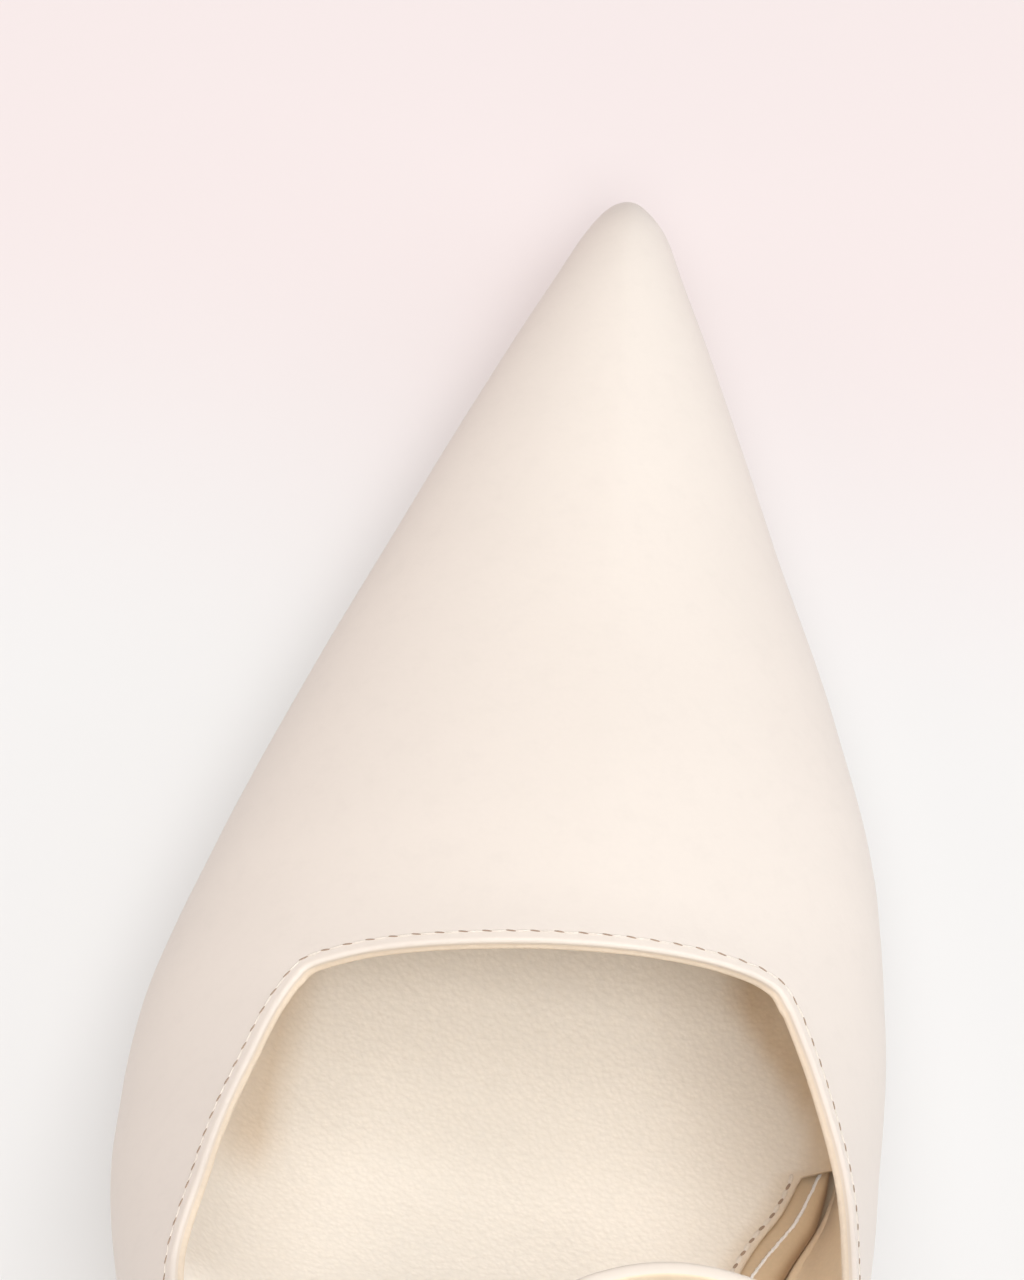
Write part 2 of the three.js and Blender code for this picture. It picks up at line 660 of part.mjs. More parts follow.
// The ankle strap's loop as a closed curve with its outward normals: 0 at the back, the
// outer side first, the front near 0.5.
const ankleRows = (() => {
  const rows = ANKLE.ahead.length;
  const list = [];
  const add = (i, side) => {
    const y = ANKLE_BACK - HEEL_SETBACK + ANKLE.ahead[i] * ANKLE_DEPTH;
    const xAt = (k) => (side * ANKLE.aside[k] + ANKLE.inward[k]) * ANKLE_HALF_WIDTH;
    const x = xAt(i);
    const a = Math.max(0, i - 1);
    const b = Math.min(rows - 1, i + 1);
    const dy = (ANKLE.ahead[b] - ANKLE.ahead[a]) * ANKLE_DEPTH;
    const dx = xAt(b) - xAt(a);
    const end = i === 0 || i === rows - 1;
    const normal = end
      ? leaned(0, i === 0 ? -1 : 1, ANKLE.lean[i])
      : leaned(side * dy, -side * dx, ANKLE.lean[i]);
    list.push({ point: new THREE.Vector3(x, y, ANKLE.height[i] * ANKLE_HEIGHT), normal });
  };
  for (let i = 0; i < rows; i += 1) {
    add(i, -1);
  }
  for (let i = rows - 2; i > 0; i -= 1) {
    add(i, 1);
  }
  return list;
})();
const ankleLine = new THREE.CatmullRomCurve3(ankleRows.map((r) => r.point), true, "catmullrom", 0.5);
const ankleFacing = new THREE.CatmullRomCurve3(ankleRows.map((r) => r.normal), true, "catmullrom", 0.5);
ankleLine.arcLengthDivisions = 800;

// A place on the ankle loop, moved outward by "out".
function ankleAt(share, out) {
  const t = ankleLine.getUtoTmapping(((share % 1) + 1) % 1);
  const normal = ankleFacing.getPoint(t).normalize();
  return { point: ankleLine.getPoint(t).addScaledVector(normal, out), normal };
}

// Sling: from under the outer quarter's tail round behind the heel to the inner one's.
function slingPath() {
  const depth = -(WALL + FIT + SLING_SAG + STRAP_THICK / 2);
  const inside = -(STRAP_THICK + FIT);
  const half = (side) => {
    const rows = [0.615, 0.640, 0.665].map((s) => ({
      point: lastOffset(s, side * TAIL_MIDDLE_AT, depth),
      normal: lastNormal(s, side * TAIL_MIDDLE_AT),
    }));
    SLING.ahead.forEach((share, i) => {
      const y = share * PLAN_LENGTH - HEEL_SETBACK;
      const x = side * SLING[side < 0 ? "lateral" : "medial"][i] * ANKLE_HALF_WIDTH;
      const point = new THREE.Vector3(x, y, SLING.height[i] * SLING_HEIGHT);
      rows.push({ point, normal: leaned(side, -0.08 - 0.06 * i, SLING_LEAN_DEG) });
    });
    SLING_BACK.forEach((height, i) => {
      const row = ankleRows[side < 0 || i === 3 ? 3 - i : ankleRows.length - 3 + i];
      const point = row.point.clone().addScaledVector(row.normal, inside);
      rows.push({ point: point.setZ(height * SLING_HEIGHT), normal: row.normal });
    });
    return rows;
  };
  const rows = [...half(-1), ...half(1).slice(0, -1).reverse()];
  return evenPath(rows.map((r) => r.point), rows.map((r) => r.normal), 50);
}

// How far out the ankle strap's free end runs, over the buckle's rear bar.
const overBar = BUCKLE_WIRE + 1.4 * FIT + STRAP_THICK / 2;

// Ankle strap: the short end stops behind the buckle's rear bar, the strap runs back
// round the heel, the inner side and the front, dips under the front bar, climbs over
// the rear bar and ends on top of its own short end.
function anklePath() {
  const loop = ankleLine.getLength();
  const start = BUCKLE_AT - (BUCKLE_WIRE + 1.4 * FIT) / loop;
  const bar = BUCKLE_AT + BUCKLE_LENGTH / loop;
  const finish = FREE_END_AT - 1;
  const path = [];
  const steps = 66;
  for (let i = 0; i <= steps; i += 1) {
    const share = start + ((finish - start) * i) / steps;
    const lift = 1 - fade(BUCKLE_AT - 1, bar - 1, share);
    path.push(ankleAt(share, share < 0 ? overBar * lift : 0));
  }
  return path;
}

// Local axes of the ankle strap at a share of its loop.
function strapAxes(share) {
  const here = ankleAt(share, 0);
  const along = ankleAt(share + 0.004, 0).point.sub(ankleAt(share - 0.004, 0).point).normalize();
  const up = new THREE.Vector3().crossVectors(along, here.normal).normalize();
  if (up.z < 0) {
    up.negate();
  }
  const out = here.normal.clone().addScaledVector(along, -here.normal.dot(along)).normalize();
  return { point: here.point, along, up, out };
}

function placed(axes, a, u, o) {
  return axes.point.clone().addScaledVector(axes.along, a).addScaledVector(axes.up, u)
    .addScaledVector(axes.out, o);
}

// Loops joined in a ring.
function ringLoft(loops) {
  const n = loops[0].length;
  const points = loops.flat();
  const faces = [];
  loops.forEach((loop, i) => {
    const a = i * n;
    const b = ((i + 1) % loops.length) * n;
    for (let j = 0; j < n; j += 1) {
      const k = (j + 1) % n;
      faces.push([a + j, a + k, b + k], [a + j, b + k, b + j]);
    }
  });
  return solid(points, faces);
}

// Round wire of a given radius about a closed path of points.
function wireLoops(path, radius, sides, closed) {
  const n = path.length;
  return path.map((p, i) => {
    const before = path[closed ? (i + n - 1) % n : Math.max(0, i - 1)];
    const after = path[closed ? (i + 1) % n : Math.min(n - 1, i + 1)];
    const tangent = after.clone().sub(before).normalize();
    const flat = wireSide.clone().addScaledVector(tangent, -wireSide.dot(tangent)).normalize();
    const other = new THREE.Vector3().crossVectors(tangent, flat);
    const loop = [];
    for (let k = 0; k < sides; k += 1) {
      const a = (2 * Math.PI * k) / sides;
      loop.push(p.clone().addScaledVector(flat, radius * Math.cos(a))
        .addScaledVector(other, radius * Math.sin(a)));
    }
    return loop;
  });
}

// A rounded rectangle about the origin, as [a, u] pairs.
function roundedRectangle(length, height, radius, cornerSteps) {
  const list = [];
  [[1, 1, 0], [-1, 1, 90], [-1, -1, 180], [1, -1, 270]].forEach(([sa, su, from]) => {
    for (let i = 0; i <= cornerSteps; i += 1) {
      const a = THREE.MathUtils.degToRad(from + (90 * i) / cornerSteps);
      list.push([
        sa * (length / 2 - radius) + radius * Math.cos(a),
        su * (height / 2 - radius) + radius * Math.sin(a),
      ]);
    }
  });
  return list;
}

const buckleAxes = strapAxes(BUCKLE_AT + BUCKLE_LENGTH / 2 / ankleLine.getLength());
const wireSide = buckleAxes.out;
const frontBarOut = STRAP_THICK / 2 + 1.4 * FIT + BUCKLE_WIRE;

// Buckle frame: a wire rectangle, its rear bar level with the strap's short end and its
// front bar outside the strap that passes under it.
function buckleGeometry() {
  const path = roundedRectangle(BUCKLE_LENGTH, BUCKLE_HEIGHT, 2.2, 4).map(([a, u]) => {
    const share = 0.5 + a / BUCKLE_LENGTH;
    return placed(buckleAxes, a, u, frontBarOut * share);
  });
  return ringLoft(wireLoops(path, BUCKLE_WIRE, 8, true));
}

// Prong: rises from the strap's hole and rests on the front bar.
function prongGeometry() {
  const rest = frontBarOut + BUCKLE_WIRE + FIT + PRONG_RADIUS;
  const low = STRAP_THICK / 2 + FIT + PRONG_RADIUS;
  const line = new THREE.CatmullRomCurve3([
    placed(buckleAxes, -0.06 * BUCKLE_LENGTH, 0, low + 2.2 * PRONG_RADIUS),
    placed(buckleAxes, 0.11 * BUCKLE_LENGTH, 0, low + 2.2 * PRONG_RADIUS),
    placed(buckleAxes, 0.3 * BUCKLE_LENGTH, 0, rest - PRONG_RADIUS),
    placed(buckleAxes, 0.46 * BUCKLE_LENGTH, 0, rest),
    placed(buckleAxes, 0.59 * BUCKLE_LENGTH, 0, rest - 0.2 * PRONG_RADIUS),
  ]);
  return loft(wireLoops(line.getPoints(9), PRONG_RADIUS, 6, false));
}

// Keeper: a flat leather loop round both layers of the ankle strap.
function keeperGeometry() {
  const axes = strapAxes(KEEPER_AT);
  const inner = -STRAP_THICK / 2 - FIT;
  const outer = overBar + STRAP_THICK / 2 + FIT;
  const middle = (inner + outer) / 2;
  const ring = (grow) => roundedRectangle(
    outer - inner + 2 * grow, STRAP_WIDTH + 2 * FIT + 2 * grow, 0.5 + grow, 3);
  const small = ring(0);
  const big = ring(KEEPER_THICK);
  const w = KEEPER_WIDTH / 2;
  return ringLoft(small.map(([o, u], i) => [
    placed(axes, -w, u, middle + o),
    placed(axes, w, u, middle + o),
    placed(axes, w, big[i][1], middle + big[i][0]),
    placed(axes, -w, big[i][1], middle + big[i][0]),
  ]));
}

const leather = { color: "#f3e9dd", roughness: 0.62, metalness: 0 };
const lining = { color: "#e2d2b9", roughness: 0.7, metalness: 0 };
const edge = { color: "#e9dccb", roughness: 0.6, metalness: 0 };
const rubber = { color: "#d9cbb8", roughness: 0.75, metalness: 0 };
const metal = { color: "#d8c7a0", roughness: 0.28, metalness: 1 };

const part = new THREE.Group();
part.name = "slingback_pump";

function add(name, geometry, look) {
  const mesh = new THREE.Mesh(geometry, new THREE.MeshStandardMaterial(look));
  mesh.name = name;
  part.add(mesh);
}

add("upper", upperGeometry(), leather);
add("outsole", outsoleGeometry(), edge);
add("insole", insoleGeometry(), leather);
add("sock_lining", sockGeometry(), lining);
add("heel", heelGeometry(), leather);
add("top_piece", topPieceGeometry(), rubber);
add("sling_strap", loft(strapLoops(slingPath(), STRAP_WIDTH, STRAP_THICK)), leather);
add("ankle_strap", loft(strapLoops(anklePath(), STRAP_WIDTH, STRAP_THICK)), leather);
add("buckle_frame", buckleGeometry(), metal);
add("buckle_prong", prongGeometry(), metal);
add("keeper_loop", keeperGeometry(), leather);

export default part;
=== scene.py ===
"""Left slingback pump in cream leather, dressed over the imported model.

Everything is in metres, in the model's frame: +Z up, +Y to the toe, +X to the inner side,
origin under the heel tip. Surfaces are worked out on numpy grids from a few named sizes
and short tables of shares, the same ones the model's source uses.
"""
import math

import bpy
import numpy as np
from mathutils import Matrix, Vector


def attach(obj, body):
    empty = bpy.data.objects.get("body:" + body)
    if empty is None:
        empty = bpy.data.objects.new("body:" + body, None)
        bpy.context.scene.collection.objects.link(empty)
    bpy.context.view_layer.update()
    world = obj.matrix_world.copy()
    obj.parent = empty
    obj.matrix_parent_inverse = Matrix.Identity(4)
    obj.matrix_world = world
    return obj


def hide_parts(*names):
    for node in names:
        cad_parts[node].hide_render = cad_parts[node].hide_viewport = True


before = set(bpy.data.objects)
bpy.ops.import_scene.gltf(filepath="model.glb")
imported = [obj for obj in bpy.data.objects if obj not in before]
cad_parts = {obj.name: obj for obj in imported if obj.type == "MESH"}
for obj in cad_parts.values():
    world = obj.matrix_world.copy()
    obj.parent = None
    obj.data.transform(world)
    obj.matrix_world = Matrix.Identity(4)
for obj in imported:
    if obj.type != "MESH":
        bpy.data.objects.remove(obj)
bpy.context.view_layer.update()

bl_info = {
    "name": "Slingback pump",
    "version": (1, 0, 0),
    "blender": (4, 5, 0),
    "location": "View3D > Sidebar > Shoe",
    "description": "Builds a left slingback pump over its packed model",
    "category": "Object",
}

MM = 0.001


def linear(text):
    """Linear RGBA of an sRGB hex colour."""
    srgb = np.array([int(text[i:i + 2], 16) / 255 for i in (1, 3, 5)])
    low, high = srgb / 12.92, ((srgb + 0.055) / 1.055) ** 2.4
    return (*np.where(srgb <= 0.04045, low, high).tolist(), 1.0)


def length(label, millimetres, text):
    return bpy.props.FloatProperty(
        name=label, description=text, default=millimetres * MM, min=0, unit="LENGTH",
        subtype="DISTANCE", precision=5)


def colour(label, text_hex, text):
    return bpy.props.FloatVectorProperty(
        name=label, description=text, size=4, subtype="COLOR", min=0, max=1,
        default=linear(text_hex))


class ShoeSizes(bpy.types.PropertyGroup):
    """The shoe's driving sizes."""
    plan: length("Plan length", 246, "Back of the seat to the toe tip, seen from above")
    ball: length("Ball width", 78.6, "Outer width of the upper at the ball")
    sole: length("Sole width", 71, "Width of the feather line at the ball")
    vamp: length("Vamp height", 46.5, "Ridge over the insole line at the throat")
    seat: length("Seat height", 78, "Rise of the insole line from ball to seat")
    setback: length("Heel setback", 21, "Heel tip's centre ahead of the seat's back")
    toe_swing: length("Toe swing", 4, "Toe tip's shift to the inner side")
    ankle_height: length("Ankle height", 129, "Middle of the ankle strap's front")
    ankle_depth: length("Ankle depth", 86, "Length of the ankle strap's loop")
    ankle_half: length("Ankle half width", 29, "Half width of the ankle strap's loop")
    wall: length("Wall", 1.6, "Leather and lining of the upper together")
    out_fore: length("Outsole, forefoot", 2.7, "Outsole under the forefoot")
    out_waist: length("Outsole, waist", 1.9, "Outsole at the waist and seat")
    board: length("Insole", 3, "Insole board with its wrap")
    sock: length("Sock", 0.8, "Sock lining")
    strap_width: length("Strap width", 9, "Both straps")
    strap_thick: length("Strap thickness", 1.5, "Both straps")
    tip: length("Top piece", 6, "Height of the pad under the heel")
    fit: length("Fit", 0.3, "Space between pieces that meet")
    margin: length("Sock margin", 4.5, "Insole seen beside the sock")
    stitch: length("Stitch pitch", 2.4, "From stitch to stitch on upper and straps")
    sock_stitch: length("Sock stitch pitch", 2.1, "From stitch to stitch on the sock")
    wrap: length("Wrap", 3.45, "Width of the insole's wrap beside its bare top")


class ShoeColours(bpy.types.PropertyGroup):
    """The shoe's colours."""
    leather: colour("Leather", "#EAE1D7", "Cream calf leather")
    # Painted shade: the straps' cream is the upper's leather made darker, as if in shade.
    strap: colour("Strap", "#DED5CA", "Cream calf leather of the straps")
    # Painted shade: the darker, warmer tint that the rim attribute mixes in at the upper's fold,
    # groove and lining edge, the strap edges and the sock's valley.
    painted_shade: colour("Folded edge", "#D6C1A6", "Leather where it is folded over")
    # Painted shade: the vamp lining is tinted browner than the sock for its walls and underside,
    # which stand in shade.
    lining: colour("Vamp lining", "#F1E1CC", "Grained lining of the vamp")
    sock: colour("Sock", "#F4EEE4", "Grained sock lining")
    quarter_lining: colour("Quarter lining", "#F4E0C3", "Smooth lining of quarters and straps")
    wrap: colour("Wrap", "#DCC5A6", "Leather wrapped over the insole")
    # Painted shade: the wrap's roll where it meets the upper, mixed in by the rim attribute.
    wrap_roll_shade: colour("Wrap's roll", "#9C7A5A", "The wrap low on its roll, beside the vamp")
    outsole: colour("Outsole", "#E3D2B8", "Buffed sole leather")
    rubber: colour("Top piece", "#D2C2AC", "Hard rubber pad")
    metal: colour("Metal", "#D9C594", "Pale gold buckle")
    thread: colour("Thread", "#E7DED3", "Sewing thread")
    hole: colour("Needle hole", "#A8927F", "Shade of a needle hole")
    raw: colour("Raw edge", "#FEFCF8", "Cut edge of the insole's wrap")
    floor: colour("Floor", "#A6A5A4", "Plain floor round the shoe")
    floor_far: colour("Far floor", "#A79F9E", "Rosy tint of the floor ahead of the toe")


def table(names, rows):
    """Columns of a short table by name."""
    return dict(zip(names.split(), np.array(rows, float).T))


# Shares of ball (medial, lateral, ridge), sole (sole_medial, sole_lateral), vamp (thick, bulge).
LAST = table("along medial lateral sole_medial sole_lateral thick bulge ridge", [
    [0.000, 0.000, 0.000, 0.000, 0.000, 0.000, 0.000, 0.000],
    [0.008, 0.032, 0.034, 0.026, 0.026, 0.130, 0.045, 0.000],
    [0.020, 0.058, 0.055, 0.052, 0.047, 0.205, 0.075, 0.002],
    [0.041, 0.088, 0.082, 0.083, 0.072, 0.280, 0.105, 0.005],
    [0.081, 0.149, 0.134, 0.145, 0.125, 0.376, 0.140, 0.012],
    [0.163, 0.263, 0.236, 0.262, 0.226, 0.538, 0.194, 0.028],
    [0.244, 0.371, 0.336, 0.362, 0.322, 0.699, 0.237, 0.042],
    [0.325, 0.446, 0.429, 0.436, 0.414, 0.860, 0.270, 0.055],
    [0.404, 0.470, 0.504, 0.494, 0.486, 1.000, 0.290, 0.066],
    [0.434, 0.467, 0.517, 0.484, 0.501, 1.058, 0.302, 0.073],
    [0.447, 0.464, 0.520, 0.472, 0.506, 1.084, 0.307, 0.075],
    [0.480, 0.457, 0.526, 0.418, 0.514, 1.150, 0.320, 0.080],
    [0.549, 0.430, 0.508, 0.330, 0.486, 1.290, 0.345, 0.080],
    [0.630, 0.402, 0.465, 0.290, 0.415, 1.420, 0.365, 0.076],
    [0.711, 0.390, 0.428, 0.290, 0.370, 1.520, 0.380, 0.060],
    [0.813, 0.370, 0.390, 0.342, 0.360, 1.600, 0.390, 0.030],
    [0.890, 0.350, 0.360, 0.362, 0.366, 1.600, 0.390, 0.000],
    [0.950, 0.290, 0.290, 0.315, 0.315, 1.600, 0.390, 0.000],
    [1.000, 0.000, 0.000, 0.000, 0.000, 1.600, 0.390, 0.000],
])
PROFILE = table("along height", [
    [0.000, 0.0720], [0.061, 0.0460], [0.122, 0.0230], [0.183, 0.0070], [0.240, 0.0000],
    [0.370, 0.0000], [0.411, 0.0130], [0.451, 0.0450], [0.492, 0.1030], [0.553, 0.2310],
    [0.614, 0.3850], [0.675, 0.5510], [0.736, 0.6920], [0.797, 0.8080], [0.858, 0.8910],
    [0.919, 0.9490], [1.000, 1.0000],
])
THROAT = table("across along", [
    [-0.332, 0.4180], [-0.320, 0.4120], [-0.292, 0.4085], [-0.241, 0.4050],
    [-0.153, 0.4025], [-0.064, 0.4010], [0.115, 0.4000], [0.189, 0.4010],
    [0.235, 0.4045], [0.256, 0.4120],
])
TOPLINE = {
    -1: table("along across", [
        [0.418, 0.332], [0.429, 0.347], [0.459, 0.377], [0.511, 0.430], [0.568, 0.500],
        [0.600, 0.512], [0.630, 0.520], [0.670, 0.534],
    ]),
    1: table("along across", [
        [0.412, 0.256], [0.420, 0.270], [0.435, 0.297], [0.461, 0.344], [0.497, 0.403],
        [0.537, 0.446], [0.570, 0.482], [0.600, 0.508], [0.630, 0.524], [0.670, 0.540],
    ]),
}
LOWER = table("along across", [
    [0.400, 1.000], [0.530, 1.000], [0.542, 0.930], [0.558, 0.800], [0.578, 0.706],
    [0.600, 0.657], [0.630, 0.637], [0.670, 0.632],
])
SLING = table("ahead lateral medial height", [
    [0.286, 1.085, 0.970, 0.614], [0.228, 1.025, 0.955, 0.709],
    [0.166, 0.955, 0.925, 0.802], [0.108, 0.885, 0.880, 0.884],
])
SLING_BACK = (0.926, 0.972, 0.990, 1.000)
ANKLE = table("ahead aside inward height lean", [
    [0.000, 0.000, 0.000, 0.972, 12], [0.022, 0.330, 0.000, 0.973, 12],
    [0.083, 0.640, 0.000, 0.976, 11], [0.195, 0.880, 0.004, 0.980, 9],
    [0.350, 0.985, 0.025, 0.985, 5], [0.520, 1.000, 0.068, 0.990, 2],
    [0.690, 0.940, 0.125, 0.994, -2], [0.850, 0.730, 0.180, 0.997, -7],
    [0.960, 0.395, 0.207, 0.999, -10], [1.000, 0.000, 0.190, 1.000, -10],
])
HEEL = table("height back front width", [
    [0.00, 0.000, 0.000, 0.000], [0.12, -0.015, 0.012, 0.004], [0.25, -0.005, 0.030, 0.020],
    [0.40, 0.060, 0.055, 0.060], [0.54, 0.180, 0.100, 0.130], [0.66, 0.340, 0.170, 0.250],
    [0.76, 0.520, 0.270, 0.410], [0.85, 0.710, 0.420, 0.610], [0.93, 0.880, 0.650, 0.830],
    [1.00, 1.000, 1.000, 1.000],
])
BEND = 0.35
TAIL_END, TAIL_ROUND, TAIL_MIDDLE = 0.66, 0.008, 0.58
SLING_SHARE, SLING_LEAN = 0.969, 10
BUCKLE_AT, KEEPER_AT, FREE_END = 0.205, 0.160, 0.125
BUCKLE_LONG, BUCKLE_TALL, BUCKLE_WIRE = 10.5 * MM, 12.6 * MM, 0.9 * MM
ROW_AT = 0.74
SOCK_STEP = {-1: 0.545, 1: 0.4305}
SOCK_STEP_LONG, SOCK_WIDENS_TO = 0.003, 0.468
WRAP_STARTS, WRAP_WIDENS = 0.4215, 0.07
SEAT_CENTRE = 0.9
OUTSOLE_ENDS, INSOLE_ENDS, SOCK_FRONT = (0.003, 0.999), (0.017, 0.998), 0.024
HEEL_BACK, HEEL_BREAST = 0.8 * MM, 49 * MM


def cubic(x, y, q):
    """Monotone cubic through (x, y) at q: Hermite pieces whose slope at a row is the
    weighted harmonic mean of the rises beside it, or 0 where they disagree."""
    h, d = np.diff(x), np.diff(y) / np.diff(x)
    m = np.zeros(len(x))
    same = d[:-1] * d[1:] > 0
    w0, w1 = 2 * h[1:] + h[:-1], h[1:] + 2 * h[:-1]
    m[1:-1][same] = (w0 + w1)[same] / (w0[same] / d[:-1][same] + w1[same] / d[1:][same])
    m[0], m[-1] = d[0], d[-1]
    i = np.clip(np.searchsorted(x, q, side="right") - 1, 0, len(x) - 2)
    t = (q - x[i]) / h[i]
    return ((1 + 2 * t) * (1 - t) ** 2 * y[i] + t * (1 - t) ** 2 * h[i] * m[i]
            + t * t * (3 - 2 * t) * y[i + 1] + t * t * (t - 1) * h[i] * m[i + 1])


def fade(a, b, q):
    """0 before a, 1 after b, smooth between."""
    t = np.clip((q - a) / (b - a), 0, 1)
    return t * t * (3 - 2 * t)


def unit(v):
    """Vectors scaled to length 1."""
    return v / np.maximum(np.linalg.norm(v, axis=-1, keepdims=True), 1e-12)


def gauss(q, centre, width):
    """1 at the centre, falling to 1/e at a width from it."""
    return np.exp(-((q - centre) / width) ** 2)


def length_along(path):
    """How far along the path each of its points lies."""
    return np.concatenate([[0], np.cumsum(np.linalg.norm(np.diff(path, axis=0), axis=1))])


def warp(s):
    """Share along the last to the share of a half turn with that versine: the table's
    columns then close roundly at both ends."""
    return np.arccos(np.clip(1 - 2 * np.asarray(s, float), -1, 1)) / math.pi


def last(name, s):
    """A column of the last's table at shares s."""
    return cubic(warp(LAST["along"]), LAST[name], warp(s))


def ahead(z, s):
    return z.plan * (1 - s) - z.setback


def base(z, s):
    """Height of the insole line, the last's sole seen from the side."""
    return z.out_fore + z.fit + z.seat * cubic(PROFILE["along"], PROFILE["height"], s)


def swing(z, s):
    """Shift of the toe to the inner side, by a square law over the front 0.4."""
    return z.toe_swing * np.clip(1 - s / 0.4, 0, 1) ** 2


def last_point(z, s, across):
    """Point of the last: x runs from the sole's edge to the widest line on a quarter
    ellipse, then to the ridge as a leaner one; the height follows with the sine."""
    s, across = np.broadcast_arrays(np.asarray(s, float), np.asarray(across, float))
    inner, side, up = across >= 0, np.where(across >= 0, 1.0, -1.0), 1 - np.abs(across)
    out = z.ball * np.where(inner, last("medial", s), last("lateral", s))
    sole = z.sole * np.where(inner, last("sole_medial", s), last("sole_lateral", s))
    thick, bulge = z.vamp * last("thick", s), z.vamp * last("bulge", s)
    ridge, power = z.ball * last("ridge", s), np.where(inner, 1.0, 1.12)
    low = up < BEND
    a = math.pi / 2 * np.where(low, up / BEND - 1, (up - BEND) / (1 - BEND))
    c, n = np.clip(np.cos(a), 0, 1), np.sin(a)
    x = np.where(low, side * (sole + (out - sole) * c), ridge + (side * out - ridge) * c ** power)
    h = np.where(low, bulge * (1 + n), bulge + (thick - bulge) * np.clip(n, 0, 1) ** power)
    return np.stack([swing(z, s) + x, ahead(z, s), base(z, s) + h], -1)


def last_normal(z, s, across):
    """Outward normal from short steps along and across the last."""
    s = np.maximum(s, 0.0008)
    along = last_point(z, s + 0.0004, across) - last_point(z, s - 0.0004, across)
    round_ = (last_point(z, s, np.minimum(1, across + 0.004))
              - last_point(z, s, np.maximum(-1, across - 0.004)))
    return unit(np.cross(along, round_))


def sole_half(z, s, side):
    return z.sole * last("sole_medial" if side > 0 else "sole_lateral", s)


def outsole_half(z, s, side):
    """The sole's half width, and up to 1 mm of welt where the upper swells over it."""
    swell = z.ball * last("medial" if side > 0 else "lateral", s) - sole_half(z, s, side)
    return sole_half(z, s, side) + np.minimum(MM, 0.3 * swell) * (1 - fade(0.48, 0.6, s))


def outsole_thick(z, s):
    return z.out_fore + (z.out_waist - z.out_fore) * fade(0.42, 0.55, s)


def outsole_low(z, s):
    return base(z, s) - z.fit - outsole_thick(z, s)


def room_half(z, s, side, height):
    """Half the room inside the upper's wall at a height over the insole line."""
    out = z.ball * last("medial" if side > 0 else "lateral", s)
    fall = np.clip(1 - height / np.maximum(z.vamp * last("bulge", s), 1e-6), 0, 1)
    sole = sole_half(z, s, side)
    return sole + (out - sole) * np.sqrt(1 - fall * fall) - z.wall - 1.5 * z.fit


def insole_half(z, s, side):
    """The insole's half width: inside the feather line, and inside the upper's walls."""
    room = np.minimum(room_half(z, s, side, z.board), room_half(z, s, side, z.board / 2))
    return np.maximum(0.3 * MM, np.minimum(sole_half(z, s, side) - 1.5 * z.fit, room))


def inside_edge(z, s, side, inset):
    """Half width at an inset from the insole's edge: plainly less along the waist, and
    round the seat as on a circle whose radius is the half width at its centre."""
    x = insole_half(z, s, side)
    r = insole_half(z, np.minimum(s, SEAT_CENTRE), side)
    return np.sqrt(np.maximum((0.3 * MM) ** 2, x * x - inset * (2 * r - inset)))


def sock_margin(z, s):
    """Inset of the sock: 0.72 of its margin at the inner step, 1.02 from the waist on."""
    return z.margin * (0.72 + 0.3 * fade(SOCK_STEP[1], SOCK_WIDENS_TO, s))


def wrap_width(z, s):
    """The wrap beside the bare board: narrow at the vamp's lining, whole from the waist on."""
    return z.wrap * np.sqrt(np.clip((s - WRAP_STARTS) / WRAP_WIDENS, 0.1, 1))


def sock_half(z, s, side):
    """The sock fills the room between the walls as far as its step; on the inner side
    its margin starts there narrower than its width."""
    step = SOCK_STEP[side]
    margin = z.fit + (sock_margin(z, s) - z.fit) * fade(step, step + SOCK_STEP_LONG, s)
    room = room_half(z, s, side, z.board + z.fit + z.sock)
    return np.minimum(inside_edge(z, s, side, margin), room)


def spline(points, t, closed=False, even=True):
    """Catmull-Rom curve through the rows of points at shares t of its parameter; even
    spacing of the knots, or by the square root of their distance."""
    p, t = np.asarray(points, float), np.asarray(t, float)
    n = len(p)
    if closed:
        p = np.concatenate([p[-1:], p, p[:2]])
        u = (t % 1) * n
    else:
        p = np.concatenate([2 * p[:1] - p[1:2], p, 2 * p[-1:] - p[-2:-1]])
        u = np.clip(t, 0, 1) * (n - 1)
    i = np.clip(np.floor(u).astype(int), 0, (n if closed else n - 1) - 1)
    w = (u - i)[:, None]
    p0, p1, p2, p3 = p[i], p[i + 1], p[i + 2], p[i + 3]
    if even:
        a, b = (p2 - p0) / 2, (p3 - p1) / 2
    else:
        d0, d1, d2 = (np.linalg.norm(q, axis=1, keepdims=True) ** 0.5
                      for q in (p1 - p0, p2 - p1, p3 - p2))
        a = ((p1 - p0) / d0 - (p2 - p0) / (d0 + d1) + (p2 - p1) / d1) * d1
        b = ((p2 - p1) / d1 - (p3 - p1) / (d1 + d2) + (p3 - p2) / d2) * d1
    return (p1 + a * w + (3 * (p2 - p1) - 2 * a - b) * w ** 2
            + (2 * (p1 - p2) + a + b) * w ** 3)


def arc_shares(points, u, closed=False, even=True):
    """Parameters at which the curve has run the shares u of its length; and the length."""
    t = np.linspace(0, 1, 1201)
    p = spline(points, np.minimum(t, 1 - 1e-12) if closed else t, closed, even)
    run = length_along(p)
    whole = np.floor(u) if closed else 0
    return np.interp((u - whole) * run[-1], run, t), run[-1]


def leaned(x, y, degrees):
    """Unit vector over the ground's direction (x, y), leaned up by an angle."""
    a = math.radians(degrees)
    flat = unit(np.array([x, y, 0.0]))
    return flat * math.cos(a) + np.array([0, 0, math.sin(a)])


